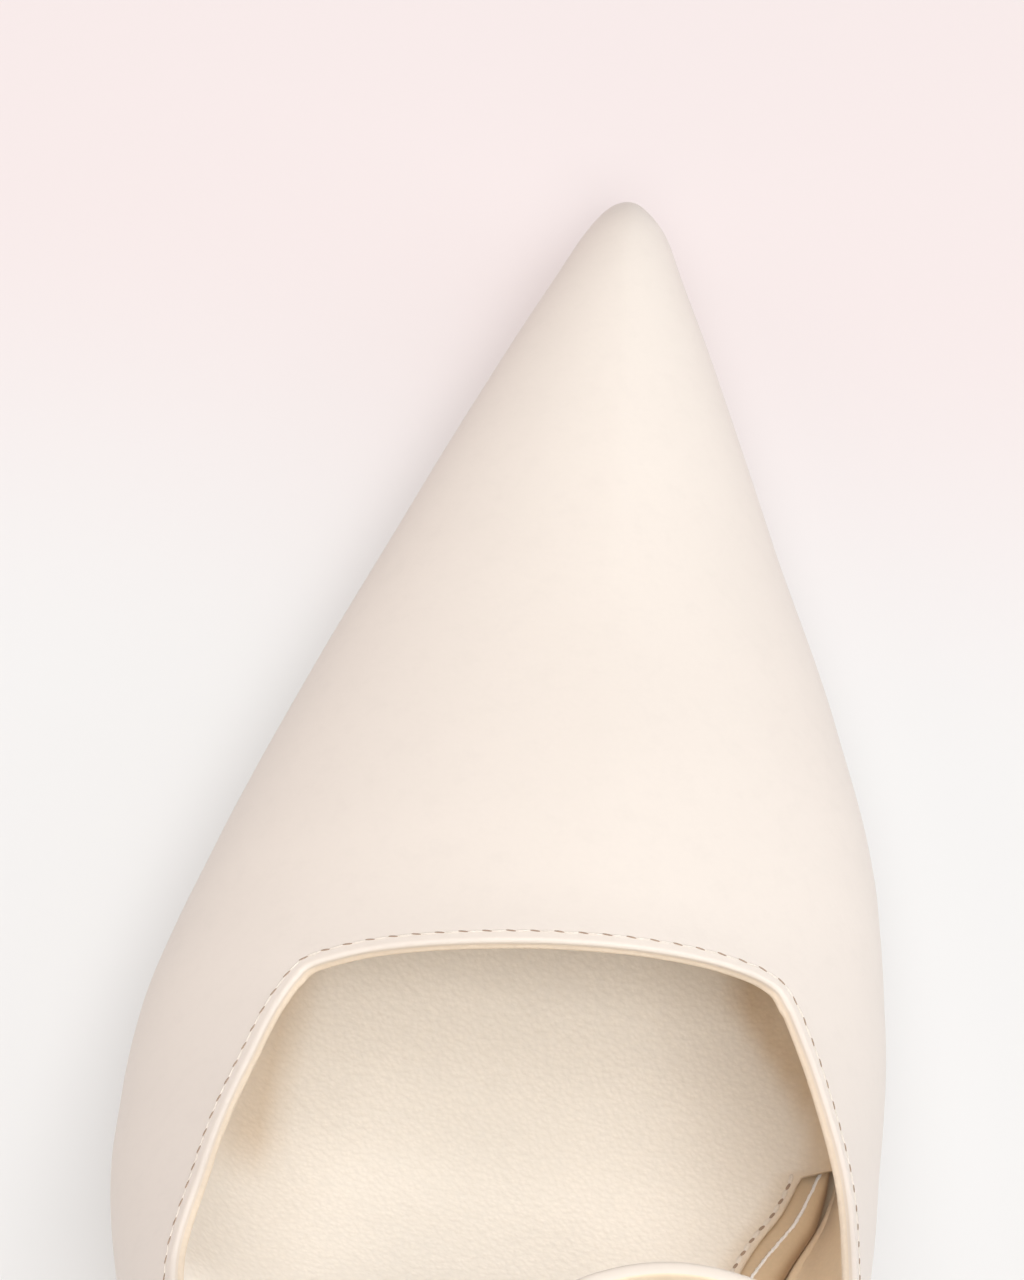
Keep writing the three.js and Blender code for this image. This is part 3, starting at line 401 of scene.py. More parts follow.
def ankle_rows(z):
    """The ankle loop's rows, back to front on the outer side and back on the inner one."""
    n = len(ANKLE["ahead"])
    y = 0.2 * MM - z.setback + ANKLE["ahead"] * z.ankle_depth
    points, normals = [], []
    for i, side in [(k, -1) for k in range(n)] + [(k, 1) for k in range(n - 2, 0, -1)]:
        x = (side * ANKLE["aside"] + ANKLE["inward"]) * z.ankle_half
        a, b = max(0, i - 1), min(n - 1, i + 1)
        if i in (0, n - 1):
            normal = leaned(0, -1 if i == 0 else 1, ANKLE["lean"][i])
        else:
            normal = leaned(side * (y[b] - y[a]), -side * (x[b] - x[a]), ANKLE["lean"][i])
        points.append((x[i], y[i], ANKLE["height"][i] * z.ankle_height))
        normals.append(normal)
    return np.array(points), np.array(normals)


def ankle_at(z, share, out):
    """Points and normals of the ankle loop at shares of its length, moved outward."""
    points, normals = ankle_rows(z)
    share = np.atleast_1d(np.asarray(share, float))
    t, run = arc_shares(points, share, True)
    n = unit(spline(normals, t, True))
    return spline(points, t, True) + n * np.reshape(out, (-1, 1)), n, run


def sling_path(z, count):
    """The sling from under the outer tail, round the heel, to under the inner one."""
    rows, normals = ankle_rows(z)
    halves = []
    for side in (-1, 1):
        s = np.array([0.615, 0.640, 0.665])
        n = last_normal(z, s, side * TAIL_MIDDLE)
        p = last_point(z, s, side * TAIL_MIDDLE)
        p = p - n * (z.wall + z.fit + 0.25 * MM + z.strap_thick / 2)
        x = side * SLING["lateral" if side < 0 else "medial"] * z.ankle_half
        free = np.stack([x, SLING["ahead"] * z.plan - z.setback,
                         SLING["height"] * SLING_SHARE * z.ankle_height], 1)
        free_n = [leaned(side, -0.08 - 0.06 * i, SLING_LEAN) for i in range(len(x))]
        pick = [3 - i if side < 0 or i == 3 else len(rows) - 3 + i for i in range(4)]
        back = rows[pick] - normals[pick] * (z.strap_thick + z.fit)
        back[:, 2] = np.array(SLING_BACK) * SLING_SHARE * z.ankle_height
        halves.append((np.concatenate([p, free, back]),
                       np.concatenate([n, free_n, normals[pick]])))
    (pa, na), (pb, nb) = halves
    points = np.concatenate([pa, pb[:-1][::-1]])
    facing = np.concatenate([na, nb[:-1][::-1]])
    t, _ = arc_shares(points, np.linspace(0, 1, count), even=False)
    return spline(points, t, even=False), unit(spline(facing, t))


def over(z):
    """How far out the ankle strap's free end runs: over the buckle's rear bar."""
    return BUCKLE_WIRE + 1.4 * z.fit + z.strap_thick / 2


def ankle_path(z, count):
    """The ankle strap: once round, then up over the buckle's bar and its own short end."""
    run = ankle_at(z, 0, 0)[2]
    start = BUCKLE_AT - (BUCKLE_WIRE + 1.4 * z.fit) / run
    bar = BUCKLE_AT + BUCKLE_LONG / run
    share = np.linspace(start, FREE_END - 1, count)
    lift = 1 - fade(BUCKLE_AT - 1, bar - 1, share)
    return ankle_at(z, share, np.where(share < 0, over(z) * lift, 0))[:2]


def path_axes(p, n):
    """Tangent, up and outward directions along a path with facing normals."""
    t = unit(np.gradient(p, axis=0))
    up = unit(np.cross(t, n))
    out = unit(np.cross(up, t))
    up = np.where(up[:, 2:] < 0, -up, up)
    return t, up, out


def strap_axes(z, share):
    """Place and local axes of the ankle strap at a share of its loop."""
    p, n, _ = ankle_at(z, [share - 0.004, share, share + 0.004], 0)
    along = unit(p[2] - p[0])
    up = unit(np.cross(along, n[1]))
    up = -up if up[2] < 0 else up
    out = unit(n[1] - along * (n[1] @ along))
    return p[1], along, up, out


def placed(name, data):
    """A new object of the data, linked to the scene."""
    thing = bpy.data.objects.new(name, data)
    bpy.context.scene.collection.objects.link(thing)
    return thing


def make(name, points, faces, materials, which=None, attributes=()):
    """A smooth mesh object on the root body, from points and groups of faces."""
    mesh = bpy.data.meshes.new(name)
    mesh.from_pydata(np.asarray(points).tolist(), [],
                     [face for group in faces for face in np.asarray(group).tolist()])
    for m in materials:
        mesh.materials.append(m)
    if which is not None:
        mesh.polygons.foreach_set("material_index", np.asarray(which, np.int32))
    mesh.polygons.foreach_set("use_smooth", np.full(len(mesh.polygons), True))
    for label, values in attributes:
        data = mesh.attributes.new(label, "FLOAT", "POINT").data
        data.foreach_set("value", np.asarray(values, np.float32))
    mesh.validate()
    mesh.update()
    piece = placed(name, mesh)
    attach(piece, "root")
    return piece


def quads(index, flip=False):
    """Quads between neighbouring rows and columns of an index grid."""
    a, b, c, d = index[:-1, :-1], index[1:, :-1], index[1:, 1:], index[:-1, 1:]
    order = (a, d, c, b) if flip else (a, b, c, d)
    return np.stack([q.ravel() for q in order], 1)


def ring_index(rows, count, closed=False):
    """Index grid of rows of count points, each row a ring, and closed as a torus or not."""
    index = np.arange(rows * count).reshape(rows, count)
    if closed:
        index = np.concatenate([index, index[:1]])
    return np.concatenate([index, index[:, :1]], 1)


def ring_turns(sides):
    """Angles of the points round a tube."""
    return np.arange(sides) / sides * 2 * math.pi


def end_caps(index):
    """Quads across the first and the last ring of an index grid."""
    n = index.shape[1] - 1
    return [quads(np.stack([row[:n // 2], row[n - 1:n // 2 - 1:-1]], 1), flip)
            for row, flip in ((index[0], False), (index[-1], True))]


def point_normals(p, faces):
    """Area-weighted normals of quads summed at their points."""
    n = np.zeros_like(p)
    for f in faces:
        cross = np.cross(p[f[:, 2]] - p[f[:, 0]], p[f[:, 3]] - p[f[:, 1]])
        for k in range(4):
            np.add.at(n, f[:, k], cross)
    return unit(n)


def closed_loft(loops):
    """Points and quads of loops in order, the end loops closed by quads across them."""
    loops = np.asarray(loops)
    index = ring_index(*loops.shape[:2])
    return loops.reshape(-1, 3), [quads(index), *end_caps(index)]


def outward(points, faces):
    """Faces turned so that the closed mesh has a positive volume."""
    volume = 0.0
    for f in faces:
        a, b, c, d = (points[f[:, k]] for k in range(4))
        volume += np.einsum("ij,ij->", a, np.cross(b, c)) + np.einsum("ij,ij->", a, np.cross(c, d))
    return faces if volume > 0 else [f[:, ::-1] for f in faces]


def loft(name, loops, material, attributes=()):
    """A closed piece through loops in order."""
    points, faces = closed_loft(loops)
    return make(name, points, outward(points, faces), [material], None, attributes)


def torus(name, loops, material):
    """A piece through loops whose last is joined to the first."""
    points = np.reshape(loops, (-1, 3))
    faces = [quads(ring_index(*np.shape(loops)[:2], True))]
    return make(name, points, outward(points, faces), [material])


def tube_loops(path, u, v, r, sides):
    """Rings about a path, in the directions u and v at each point, with radii r."""
    turn = ring_turns(sides)
    return (path[:, None] + u[:, None] * (r * np.cos(turn))[..., None]
            + v[:, None] * (r * np.sin(turn))[..., None])


def node_tree(name):
    """A fresh material, its Principled shader and object coordinates, and functions that
    set a node's settings and links (i6 is the input numbered 6) and add a node with them."""
    material = bpy.data.materials.new(name)
    material.use_nodes = True
    tree = material.node_tree
    tree.nodes.clear()

    def wire(node, **inputs):
        for key, value in inputs.items():
            if key in node.bl_rna.properties:
                setattr(node, key, value)
                continue
            socket = node.inputs[int(key[1:])] if key[0] == "i" and key[1:].isdigit() \
                else node.inputs[key.replace("_", " ")]
            if isinstance(value, bpy.types.NodeSocket):
                tree.links.new(value, socket)
            else:
                socket.default_value = value
        return node

    def add(kind, **inputs):
        return wire(tree.nodes.new("ShaderNode" + kind), **inputs)

    shader = add("BsdfPrincipled")
    add("OutputMaterial", Surface=shader.outputs[0])
    return material, add, wire, shader, add("TexCoord").outputs["Object"]


def shade(tint, factor):
    return (*(min(1.0, c * factor) for c in tint[:3]), 1.0)


def leather_material(name, tint, edge, grain, depth, rough, mottle, furrow):
    """Finished leather: faint cloudy mottling, fine pebbled grain with pores whose furrows
    are a little darker, and painted shade, a darker and warmer tint mixed in by the rim attribute."""
    material, add, wire, shader, at = node_tree(name)
    cloud = add("TexNoise", Vector=at, Scale=38.0, Detail=3.0, Roughness=0.55)
    fine = add("TexNoise", Vector=at, Scale=420.0, Detail=4.0, Roughness=0.6)
    pebble = add("TexVoronoi", feature="SMOOTH_F1", Vector=at, Scale=1 / (grain * MM),
                 Smoothness=0.6)
    pores = add("TexNoise", Vector=at, Scale=0.7 / (grain * MM), Detail=2.0, Roughness=0.5)
    tone = add("MapRange", Value=cloud.outputs["Fac"], From_Min=0.3, From_Max=0.7,
               To_Min=0.0, To_Max=1.0)
    mix = add("Mix", data_type="RGBA", Factor=tone.outputs[0], i6=shade(tint, 1 - mottle),
              i7=shade(tint, 1 + 0.4 * mottle))
    # Painted shade: the rim attribute mixes in the darker edge tint.
    rim = add("Attribute", attribute_name="rim")
    folded = add("Mix", data_type="RGBA", Factor=rim.outputs["Fac"], i6=mix.outputs[2], i7=edge)
    speck = add("MapRange", Value=fine.outputs["Fac"], From_Min=0.25, From_Max=0.5,
                To_Min=0.98, To_Max=1.0)
    dark = add("MapRange", Value=pebble.outputs["Distance"], From_Min=0.15, From_Max=0.6,
               To_Min=1.0, To_Max=1.0 - furrow)
    both = add("Math", operation="MULTIPLY", i0=speck.outputs[0], i1=dark.outputs[0])
    spotted = add("Mix", data_type="RGBA", blend_type="MULTIPLY", Factor=1.0,
                  i6=folded.outputs[2], i7=both.outputs[0])
    gloss = add("MapRange", Value=cloud.outputs["Fac"], From_Min=0.3, From_Max=0.7,
                To_Min=rough - 0.05, To_Max=rough + 0.06)
    height = add("Math", operation="MULTIPLY_ADD", i0=pebble.outputs["Distance"], i1=0.75,
                 i2=pores.outputs["Fac"])
    bump = add("Bump", Strength=1.0, Distance=depth * MM, Height=height.outputs[0])
    wire(shader, Base_Color=spotted.outputs[2], Roughness=gloss.outputs[0],
         Normal=bump.outputs[0], Specular_IOR_Level=0.38, Sheen_Weight=0.08,
         Sheen_Roughness=0.5)
    return material


def sole_material(name, tint):
    """Buffed sole leather: lengthwise fibre streaks and fine scuffs."""
    material, add, wire, shader, at = node_tree(name)
    stretch = add("Mapping", Vector=at, Scale=(900.0, 60.0, 900.0))
    fibre = add("TexNoise", Vector=stretch.outputs[0], Scale=1.0, Detail=3.0, Roughness=0.6)
    cloud = add("TexNoise", Vector=at, Scale=30.0, Detail=3.0)
    ramp = add("Mix", data_type="RGBA", Factor=fibre.outputs["Fac"], i6=shade(tint, 0.88),
               i7=shade(tint, 1.06))
    wide = add("Mix", data_type="RGBA", blend_type="MULTIPLY", Factor=0.25, i6=ramp.outputs[2],
               i7=cloud.outputs["Fac"])
    rough = add("MapRange", Value=fibre.outputs["Fac"], To_Min=0.48, To_Max=0.62)
    bump = add("Bump", Strength=1.0, Distance=0.02 * MM, Height=fibre.outputs["Fac"])
    wire(shader, Base_Color=wide.outputs[2], Roughness=rough.outputs[0], Normal=bump.outputs[0])
    return material


def fine_material(name, tint, low, high, grain, relief, cloud=None, gloss=None, **settings):
    """A plain finish: a fine noise gives its relief (strength, depth) and, where gloss is
    given, its range of roughness; the tint runs from a share low to a share high with the
    same noise, or with a wider one."""
    material, add, wire, shader, at = node_tree(name)
    fine = add("TexNoise", Vector=at, **grain).outputs["Fac"]
    wide = add("TexNoise", Vector=at, **cloud).outputs["Fac"] if cloud else fine
    tone = add("Mix", data_type="RGBA", Factor=wide, i6=shade(tint, low), i7=shade(tint, high))
    bump = add("Bump", Strength=relief[0], Distance=relief[1] * MM, Height=fine)
    if gloss:
        rough = add("MapRange", Value=fine, To_Min=gloss[0], To_Max=gloss[1])
        settings["Roughness"] = rough.outputs[0]
    wire(shader, Base_Color=tone.outputs[2], Normal=bump.outputs[0], **settings)
    return material


def rubber_material(name, tint):
    """Hard moulded rubber with a fine even stipple."""
    return fine_material(name, tint, 0.93, 1.04, dict(Scale=1800.0, Detail=2.0), (1.0, 0.02),
                         dict(Scale=120.0, Detail=2.0), Roughness=0.62)


def metal_material(name, tint):
    """Polished plated brass with hairline scratches."""
    return fine_material(name, tint, 0.93, 1.05, dict(Scale=900.0, Detail=3.0, Roughness=0.7),
                         (0.5, 0.008), gloss=(0.16, 0.3), Metallic=1.0)


def thread_material(name, tint, rough=0.75):
    """Twisted thread: fine slanting bands across it."""
    return fine_material(name, tint, 0.86, 1.08, dict(Scale=5200.0, Detail=1.0), (0.6, 0.03),
                         Roughness=rough)


def floor_material(name, tint, far, glow):
    """Plain matt table, lit from below by a share, that turns softly rosy past the toe.
    Past the lamps' reach it glows more, so that it stays as pale to the horizon."""
    material, add, wire, shader, at = node_tree(name)
    place = add("SeparateXYZ", Vector=at)
    turn = add("MapRange", interpolation_type="SMOOTHSTEP", Value=place.outputs["Y"],
               From_Min=0.165, From_Max=0.225, To_Min=0.0, To_Max=1.0)
    tone = add("Mix", data_type="RGBA", Factor=turn.outputs[0], i6=tint, i7=far)
    away = add("VectorMath", operation="LENGTH", Vector=at)
    beyond = add("MapRange", interpolation_type="SMOOTHSTEP", Value=away.outputs["Value"],
                 From_Min=0.8, From_Max=3.0, To_Min=glow, To_Max=1.7 * glow)
    wire(shader, Base_Color=tone.outputs[2], Emission_Color=tone.outputs[2],
         Emission_Strength=beyond.outputs[0], Roughness=0.9, Specular_IOR_Level=0.1)
    return material


# Grain and relief in millimetres, roughness, mottling and how dark the furrows are.
SMOOTH_CALF = (0.55, 0.012, 0.56, 0.012, 0.004)
GRAINED = (0.6, 0.07, 0.55, 0.02, 0.03)
SMOOTH_LINING = (0.5, 0.015, 0.5, 0.03, 0.03)
MATERIALS = {}


def materials(c):
    """All materials by name, made once."""
    if not MATERIALS:
        for key, name, tint, edge, kind in (
                ("leather", "cream_leather", c.leather, c.painted_shade, SMOOTH_CALF),
                ("strap", "strap_leather", c.strap, c.painted_shade, SMOOTH_CALF),
                ("lining", "vamp_lining", c.lining, c.painted_shade, GRAINED),
                ("sock", "sock_lining", c.sock, c.painted_shade, GRAINED),
                ("quarter", "quarter_lining", c.quarter_lining, c.painted_shade, SMOOTH_LINING),
                ("wrap", "wrap_leather", c.wrap, c.wrap_roll_shade, SMOOTH_LINING)):
            MATERIALS[key] = leather_material(name, tint, edge, *kind)
        MATERIALS.update(
            outsole=sole_material("sole_leather", c.outsole),
            rubber=rubber_material("top_rubber", c.rubber),
            metal=metal_material("pale_brass", c.metal),
            thread=thread_material("thread", c.thread),
            hole=thread_material("needle_hole", c.hole, 0.9),
            raw=thread_material("raw_edge", c.raw, 0.95),
            floor=floor_material("floor", c.floor, c.floor_far, 1.15))
    return MATERIALS


def upper_sheet(z, front=150, wing=96, side=40, throat=64):
    """Shares (along, across) of the sheet's points, its index grids and its edge loop.

    The front block closes to one point at the toe; each quarter goes on from its outer
    columns, between its lower edge and its topline. The loop runs back along the outer
    feather line, over the tail, forward along the topline, across the throat and home."""
    left, right = THROAT["across"][0], THROAT["across"][-1]
    t = np.arange(1, throat) / throat
    middle = left + (right - left) * (0.3 * (1 - np.cos(math.pi * t)) + 0.4 * t)
    columns = np.concatenate([np.linspace(-1, left, side + 1), middle,
                              np.linspace(right, 1, side + 1)])
    reach = cubic(THROAT["across"], THROAT["along"], np.clip(columns, left, right))
    rows = (np.arange(1, front + 1) / front)[:, None] ** 1.6
    s = [np.zeros(1), (rows * reach).ravel()]
    a = [np.zeros(1), np.broadcast_to(columns, (front, len(columns))).ravel()]
    grid = np.zeros((front + 1, len(columns)), int)
    grid[1:] = 1 + np.arange(front * len(columns)).reshape(front, -1)
    count = 1 + front * len(columns)
    wings = {}
    f = np.linspace(0, 1, side + 1)
    for way in (-1, 1):
        start = THROAT["along"][0 if way < 0 else -1]
        stop = TAIL_END + TAIL_ROUND * (1 - (2 * f - 1) ** 2)
        ws = start + (stop - start) * (np.arange(1, wing + 1) / wing)[:, None]
        top = TOPLINE[way]
        high = cubic(top["along"], top["across"], ws)
        low = cubic(LOWER["along"], LOWER["across"], ws)
        s.append(ws.ravel())
        a.append((way * (low + (high - low) * f)).ravel())
        index = np.zeros((wing + 1, side + 1), int)
        index[0] = grid[-1, :side + 1] if way < 0 else grid[-1, ::-1][:side + 1]
        index[1:] = count + np.arange(wing * (side + 1)).reshape(wing, -1)
        count += wing * (side + 1)
        wings[way] = index
    l, m = wings[-1], wings[1]
    loop = np.concatenate([
        grid[:, 0], l[1:, 0], l[-1, 1:], l[-2::-1, -1], grid[-1, side + 1:len(columns) - side],
        m[1:, -1], m[-1, -2::-1], m[-2::-1, 0], grid[-2:0:-1, -1]])
    keep = np.ones(len(loop), bool)
    keep[1:] = loop[1:] != loop[:-1]
    return np.concatenate(s), np.concatenate(a), grid, l, m, loop[keep]


def near_loop(p, line):
    """For each point the nearest point of the loop and its distance."""
    best, at = np.full(len(p), 1e9), np.zeros(len(p), int)
    for k in range(0, len(p), 1000):
        d = np.linalg.norm(p[k:k + 1000, None] - line[None], axis=2)
        at[k:k + 1000], best[k:k + 1000] = d.argmin(1), d.min(1)
    return at, best


def stitches(name, p, t, n, pitch, m, raised, width=0.34 * MM, dash=0.2, sides=8):
    """A row of stitches along points p, with directions t and normals n: rounded threads,
    and between each two a dark dip with the needle hole, which slants a little across the
    row. The dash is half a dip's length as a share of the pitch."""
    run = length_along(p)
    number = max(1, int(round(run[-1] / pitch)))
    step = run[-1] / number

    def at(values, where):
        return np.stack([np.interp(where, run, values[:, k]) for k in range(3)], 1)

    points, faces, which, start = [], [], [], 0
    kinds = ((0, 0.53 - dash, width / 2, 0.1 * MM, 0.0),
             (1, dash, width * 0.32, 0.09 * MM, 0.15))
    for kind, half_long, half_wide, tall, slant in kinds:
        centres = (np.arange(number) + (0.5 if kind == 0 else 0.0)) * step
        along = np.array([-1, -0.85, -0.4, 0.4, 0.85, 1])
        swell = np.sqrt(np.clip(1 - np.abs(along) ** 3, 0.02, 1))
        q, d, u = at(p, centres), unit(at(t, centres)), unit(at(n, centres))
        d = unit(d - slant * np.cross(u, d))
        b = np.cross(u, d)
        turn = ring_turns(sides)
        far = along * half_long * step
        wide = swell[:, None] * np.cos(turn) * half_wide
        high = swell[:, None] * np.sin(turn) * tall + raised
        ring = (q[:, None, None] + d[:, None, None] * far[None, :, None, None]
                + b[:, None, None] * wide[None, :, :, None]
                + u[:, None, None] * high[None, :, :, None])
        index = ring_index(len(along), sides)
        shape = np.concatenate([quads(index), *end_caps(index)])
        shape = outward(ring[0].reshape(-1, 3), [shape])[0]
        each = len(along) * sides
        offsets = start + np.arange(number) * each
        faces.append((shape[None] + offsets[:, None, None]).reshape(-1, 4))
        points.append(ring.reshape(-1, 3))
        which.append(np.full(number * len(shape), kind))
        start += number * each
    return make(name, np.concatenate(points), faces, [m["thread"], m["hole"]],
                np.concatenate(which))


RIM_STEPS, RIM_GROOVE = 24, 0.5


def build_upper(z, m):
    """The upper as one closed sheet: leather outside, rolled rim, lining inside.

    The outer skin lies on the last, drawn back by half the wall so that the rolled rim
    ends on the pattern's edge. The rim puffs slightly outside a shallow stitch trough."""
    s, a, grid, left, right, loop = upper_sheet(z)
    p = last_point(z, s, a)
    n = last_normal(z, s, a)
    n[0] = (0, 1, 0)
    line = p[loop]
    tangent = unit(np.roll(line, -1, 0) - np.roll(line, 1, 0))
    side = unit(np.cross(tangent, n[loop]))
    for _ in range(3):
        side = unit((side + np.roll(side, 1, 0) + np.roll(side, -1, 0)) / 3)
    feather = (np.abs(a[loop]) > 0.97) | (s[loop] < 0.001)
    at, d = near_loop(p, line)
    r = z.wall / 2
    pull = r * np.clip(1 - d / (5 * MM), 0, 1) ** 2
    p = p - side[at] * pull[:, None]
    free = line[~feather]
    _, df = near_loop(p, free)
    d_mm = df / MM
    trough, swell = -0.07 * gauss(d_mm, 1.25, 0.22), 0.05 * gauss(d_mm, 2.0, 0.7)
    p = p + n * ((trough + swell) * MM + vamp_relief(z, s, a))[:, None]
    faces = [quads(grid[1:]), quads(left), quads(right, True)]
    tri = np.stack([np.zeros(grid.shape[1] - 1, int), grid[1, :-1], grid[1, 1:]], 1)
    n = point_normals(p, faces)
    n[0] = (0, 1, 0)
    # The vamp's lining lies over the quarters' lining and ends in a thin step.
    lining_end = np.where(a > 0, SOCK_STEP[1], SOCK_STEP[-1]) + 0.0005
    lap = 0.18 * MM * (1 - fade(lining_end, lining_end + 0.0015, s)) * fade(0.8, 2.4, d_mm)
    inner = p - n * (z.wall - 0.1 * MM * fade(0.8, 2.4, d_mm) + lap)[:, None]
    count = len(p)
    edge_n = n[loop]
    # From the outer face to the inner one: a tight fold with a flat band behind it, and a
    # fine groove where the folded leather meets the lining's edge.
    turn = np.arange(1, RIM_STEPS) / RIM_STEPS
    rise = np.cos(math.pi * turn)
    rise = np.sign(rise) * np.abs(rise) ** 0.55
    reach = np.sin(math.pi * turn) ** 0.55 * (1 - 0.18 * gauss(turn, RIM_GROOVE, 0.03))
    rings = [p[loop] + edge_n * (r * (c - 1)) + side * (r * q) for c, q in zip(rise, reach)]
    folds = 2 * count + np.arange((RIM_STEPS - 1) * len(loop)).reshape(-1, len(loop))
    band = np.concatenate([loop[None], folds, loop[None] + count])
    band = np.concatenate([band, band[:, :1]], 1)
    inner_faces = [f[:, ::-1] + count for f in faces]
    points = np.concatenate([p, inner, *rings])
    all_quads = faces + inner_faces + [quads(band)]
    turned = outward(points, all_quads)
    tris = [tri, tri[:, ::-1] + count]
    if turned is not all_quads:
        tris = [f[:, ::-1] for f in tris]
    sort = np.where(s < lining_end, 1, 2)
    first_of = np.concatenate([f[:, 0] for f in faces])
    folded = (np.arange(RIM_STEPS) + 0.5)[:, None] / RIM_STEPS < RIM_GROOVE
    rim_sort = np.where(folded, 0, np.where(feather, sort[loop], 1)[None]).ravel()
    which = np.concatenate([np.zeros(len(first_of)), sort[first_of], rim_sort,
                            np.zeros(len(tri)), np.ones(len(tri))])
    # Painted shade: the rim attribute darkens and warms the fold, most in its groove and over the
    # lining's edge, and a little on the outer face and the lining next to the rim.
    rim_shade = np.where(turn < RIM_GROOVE, 0.1, 0.3) + 0.35 * gauss(turn, 0.46, 0.03)
    rim_shade = rim_shade[:, None] * np.where(feather, 0, 1)
    rim = np.concatenate([0.1 * np.clip(1 - d_mm / 1.3, 0, 1),
                          0.35 * np.clip(1 - d_mm / 1.2, 0, 1), rim_shade.ravel()])
    piece = make("upper_shell", points, turned + tris, [m["leather"], m["lining"], m["quarter"]],
                 which, [("rim", rim)])
    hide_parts("upper")
    # Stitches: from the outer tail's lower edge round the openings to the inner one's.
    keep = ~feather
    first = int(np.argmax(keep))
    order = np.arange(first, first + int(keep.sum()))
    sel = loop[order]
    q = p[sel] - side[order] * (0.45 * MM)
    at_q, _ = near_loop(q, p)
    q = q - n[at_q] * np.einsum("ij,ij->i", q - p[at_q], n[at_q])[:, None]
    stitches("upper_stitches", q, tangent[order], n[at_q], z.stitch, m, 0.02 * MM,
             width=0.27 * MM, dash=0.22)


def vamp_relief(z, s, a):
    """Soft relief of the lasted vamp: a faint ridge line from throat to toe, a slight
    hollow each side of it and two shallow flex waves ahead of the throat."""
    ridge = 0.10 * MM * gauss(a, 0, 0.05) * fade(0.05, 0.15, s) * (1 - fade(0.3, 0.4, s))
    waves = np.zeros_like(s)
    for centre, tilt, deep, wide in ((0.352, 0.05, 0.12, 0.012), (0.325, -0.06, 0.09, 0.014)):
        at = s - centre - tilt * a ** 2
        waves -= deep * MM * gauss(at, 0, wide) * gauss(np.abs(a), 0.42, 0.2)
    return ridge + waves


def plate_shares(first, final, count, gap):
    """Shares between a plate's ends, closer near them; the outer two a gap inside them."""
    t = np.linspace(0, 1, count + 1)
    s = first + (final - first) * (0.5 * t + 0.25 * (1 - np.cos(math.pi * t)))
    s[0], s[-1] = first + gap, final - gap
    return s


def plate_loops(z, first, final, half, bottom, thick, count=150, sides=9, across=14):
    """Sections of a plate along the sole: flat above and below, half-round at the sides,
    its thickness closing as a half circle at both ends."""
    s = plate_shares(first, final, count, 0.02 * MM / z.plan)
    h = thick(z, s)
    from_end = z.plan * np.minimum(s - first, final - s)
    k = np.clip(from_end / (h / 2), 0, 1)
    deep = h * np.sqrt(1 - (1 - k) ** 2)
    low = bottom(z, s) + (h - deep) / 2
    right, left = half(z, s, 1), half(z, s, -1)
    turn = np.minimum(deep / 2, 0.45 * (left + right))
    f = np.linspace(-1, 1, across + 1)[1:-1]
    ang = np.radians(np.linspace(-90, 90, sides))
    flat = [np.where(g < 0, g * (left - turn), g * (right - turn)) for g in f]
    rise = [low + deep / 2 * (1 + math.sin(q)) for q in ang]
    x = np.stack(flat + [right - turn + turn * math.cos(q) for q in ang] + flat[::-1]
                 + [-(left - turn) - turn * math.cos(q) for q in ang[::-1]], 1)
    high = [low] * len(f) + rise + [low + deep] * len(f) + rise[::-1]
    y = np.broadcast_to(ahead(z, s)[:, None], x.shape)
    return s, np.stack([x + swing(z, s)[:, None], y, np.stack(high, 1)], -1)


def build_sole(z, m):
    """Outsole, wrapped insole and sock, with the sock's stitches and the wrap's raw edge."""
    _, loops = plate_loops(z, *OUTSOLE_ENDS, outsole_half, outsole_low, outsole_thick)
    outsole = loft("outsole_leather", loops, m["outsole"])
    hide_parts("outsole")

    build_insole(z, m)

    s, loops = plate_loops(z, SOCK_FRONT, INSOLE_ENDS[1] - z.margin / z.plan, sock_half,
                           lambda z, s: base(z, s) + z.board + z.fit,
                           lambda z, s: np.full_like(s, z.sock), count=320, across=40)
    turned_up, sock_shade = sock_cove(z, s, loops)
    # Painted shade: where the sock bends up the wall, and beside its stitches, its skin is tinted
    # browner.
    sock = loft("sock_sheet", loops + turned_up, m["sock"], [("rim", sock_shade)])
    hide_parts("sock_lining")

    path = inside_line(z, lambda s: sock_margin(z, s) + 0.9 * MM, z.board + z.fit + z.sock, 0)
    t = unit(np.gradient(path, axis=0))
    up = unit(np.cross(np.cross(t, [0, 0, 1.0]), t))
    stitches("sock_stitches", path, t, up, z.sock_stitch, m, 0.03 * MM, width=0.5 * MM,
             dash=0.23)
    path = inside_line(z, lambda s: wrap_width(z, s), z.board + 0.3 * MM, -0.004)
    tube("insole_raw_edge", path, 0.19 * MM, m["raw"], 8, rough=0.06 * MM)


def inside_line(z, inset, height, lead):
    """A line round the waist and seat at an inset from the insole's edge, from the sock's
    outer step, or a lead ahead of it, round the back to its inner one."""
    end = 1 - (inset(1.0) + 0.6 * MM) / z.plan
    t = np.linspace(0, 1, 400)
    halves = []
    for side in (-1, 1):
        start = SOCK_STEP[side] + lead
        s = start + (end - start) * np.sin(math.pi / 2 * t) ** 0.9
        x = swing(z, s) + side * inside_edge(z, s, side, inset(s))
        halves.append(np.stack([x, ahead(z, s), base(z, s) + height], 1))
    line = np.concatenate([halves[0], halves[1][::-1]])
    run = length_along(line)
    even = np.linspace(0, run[-1], 900)
    return np.stack([np.interp(even, run, line[:, k]) for k in range(3)], 1)


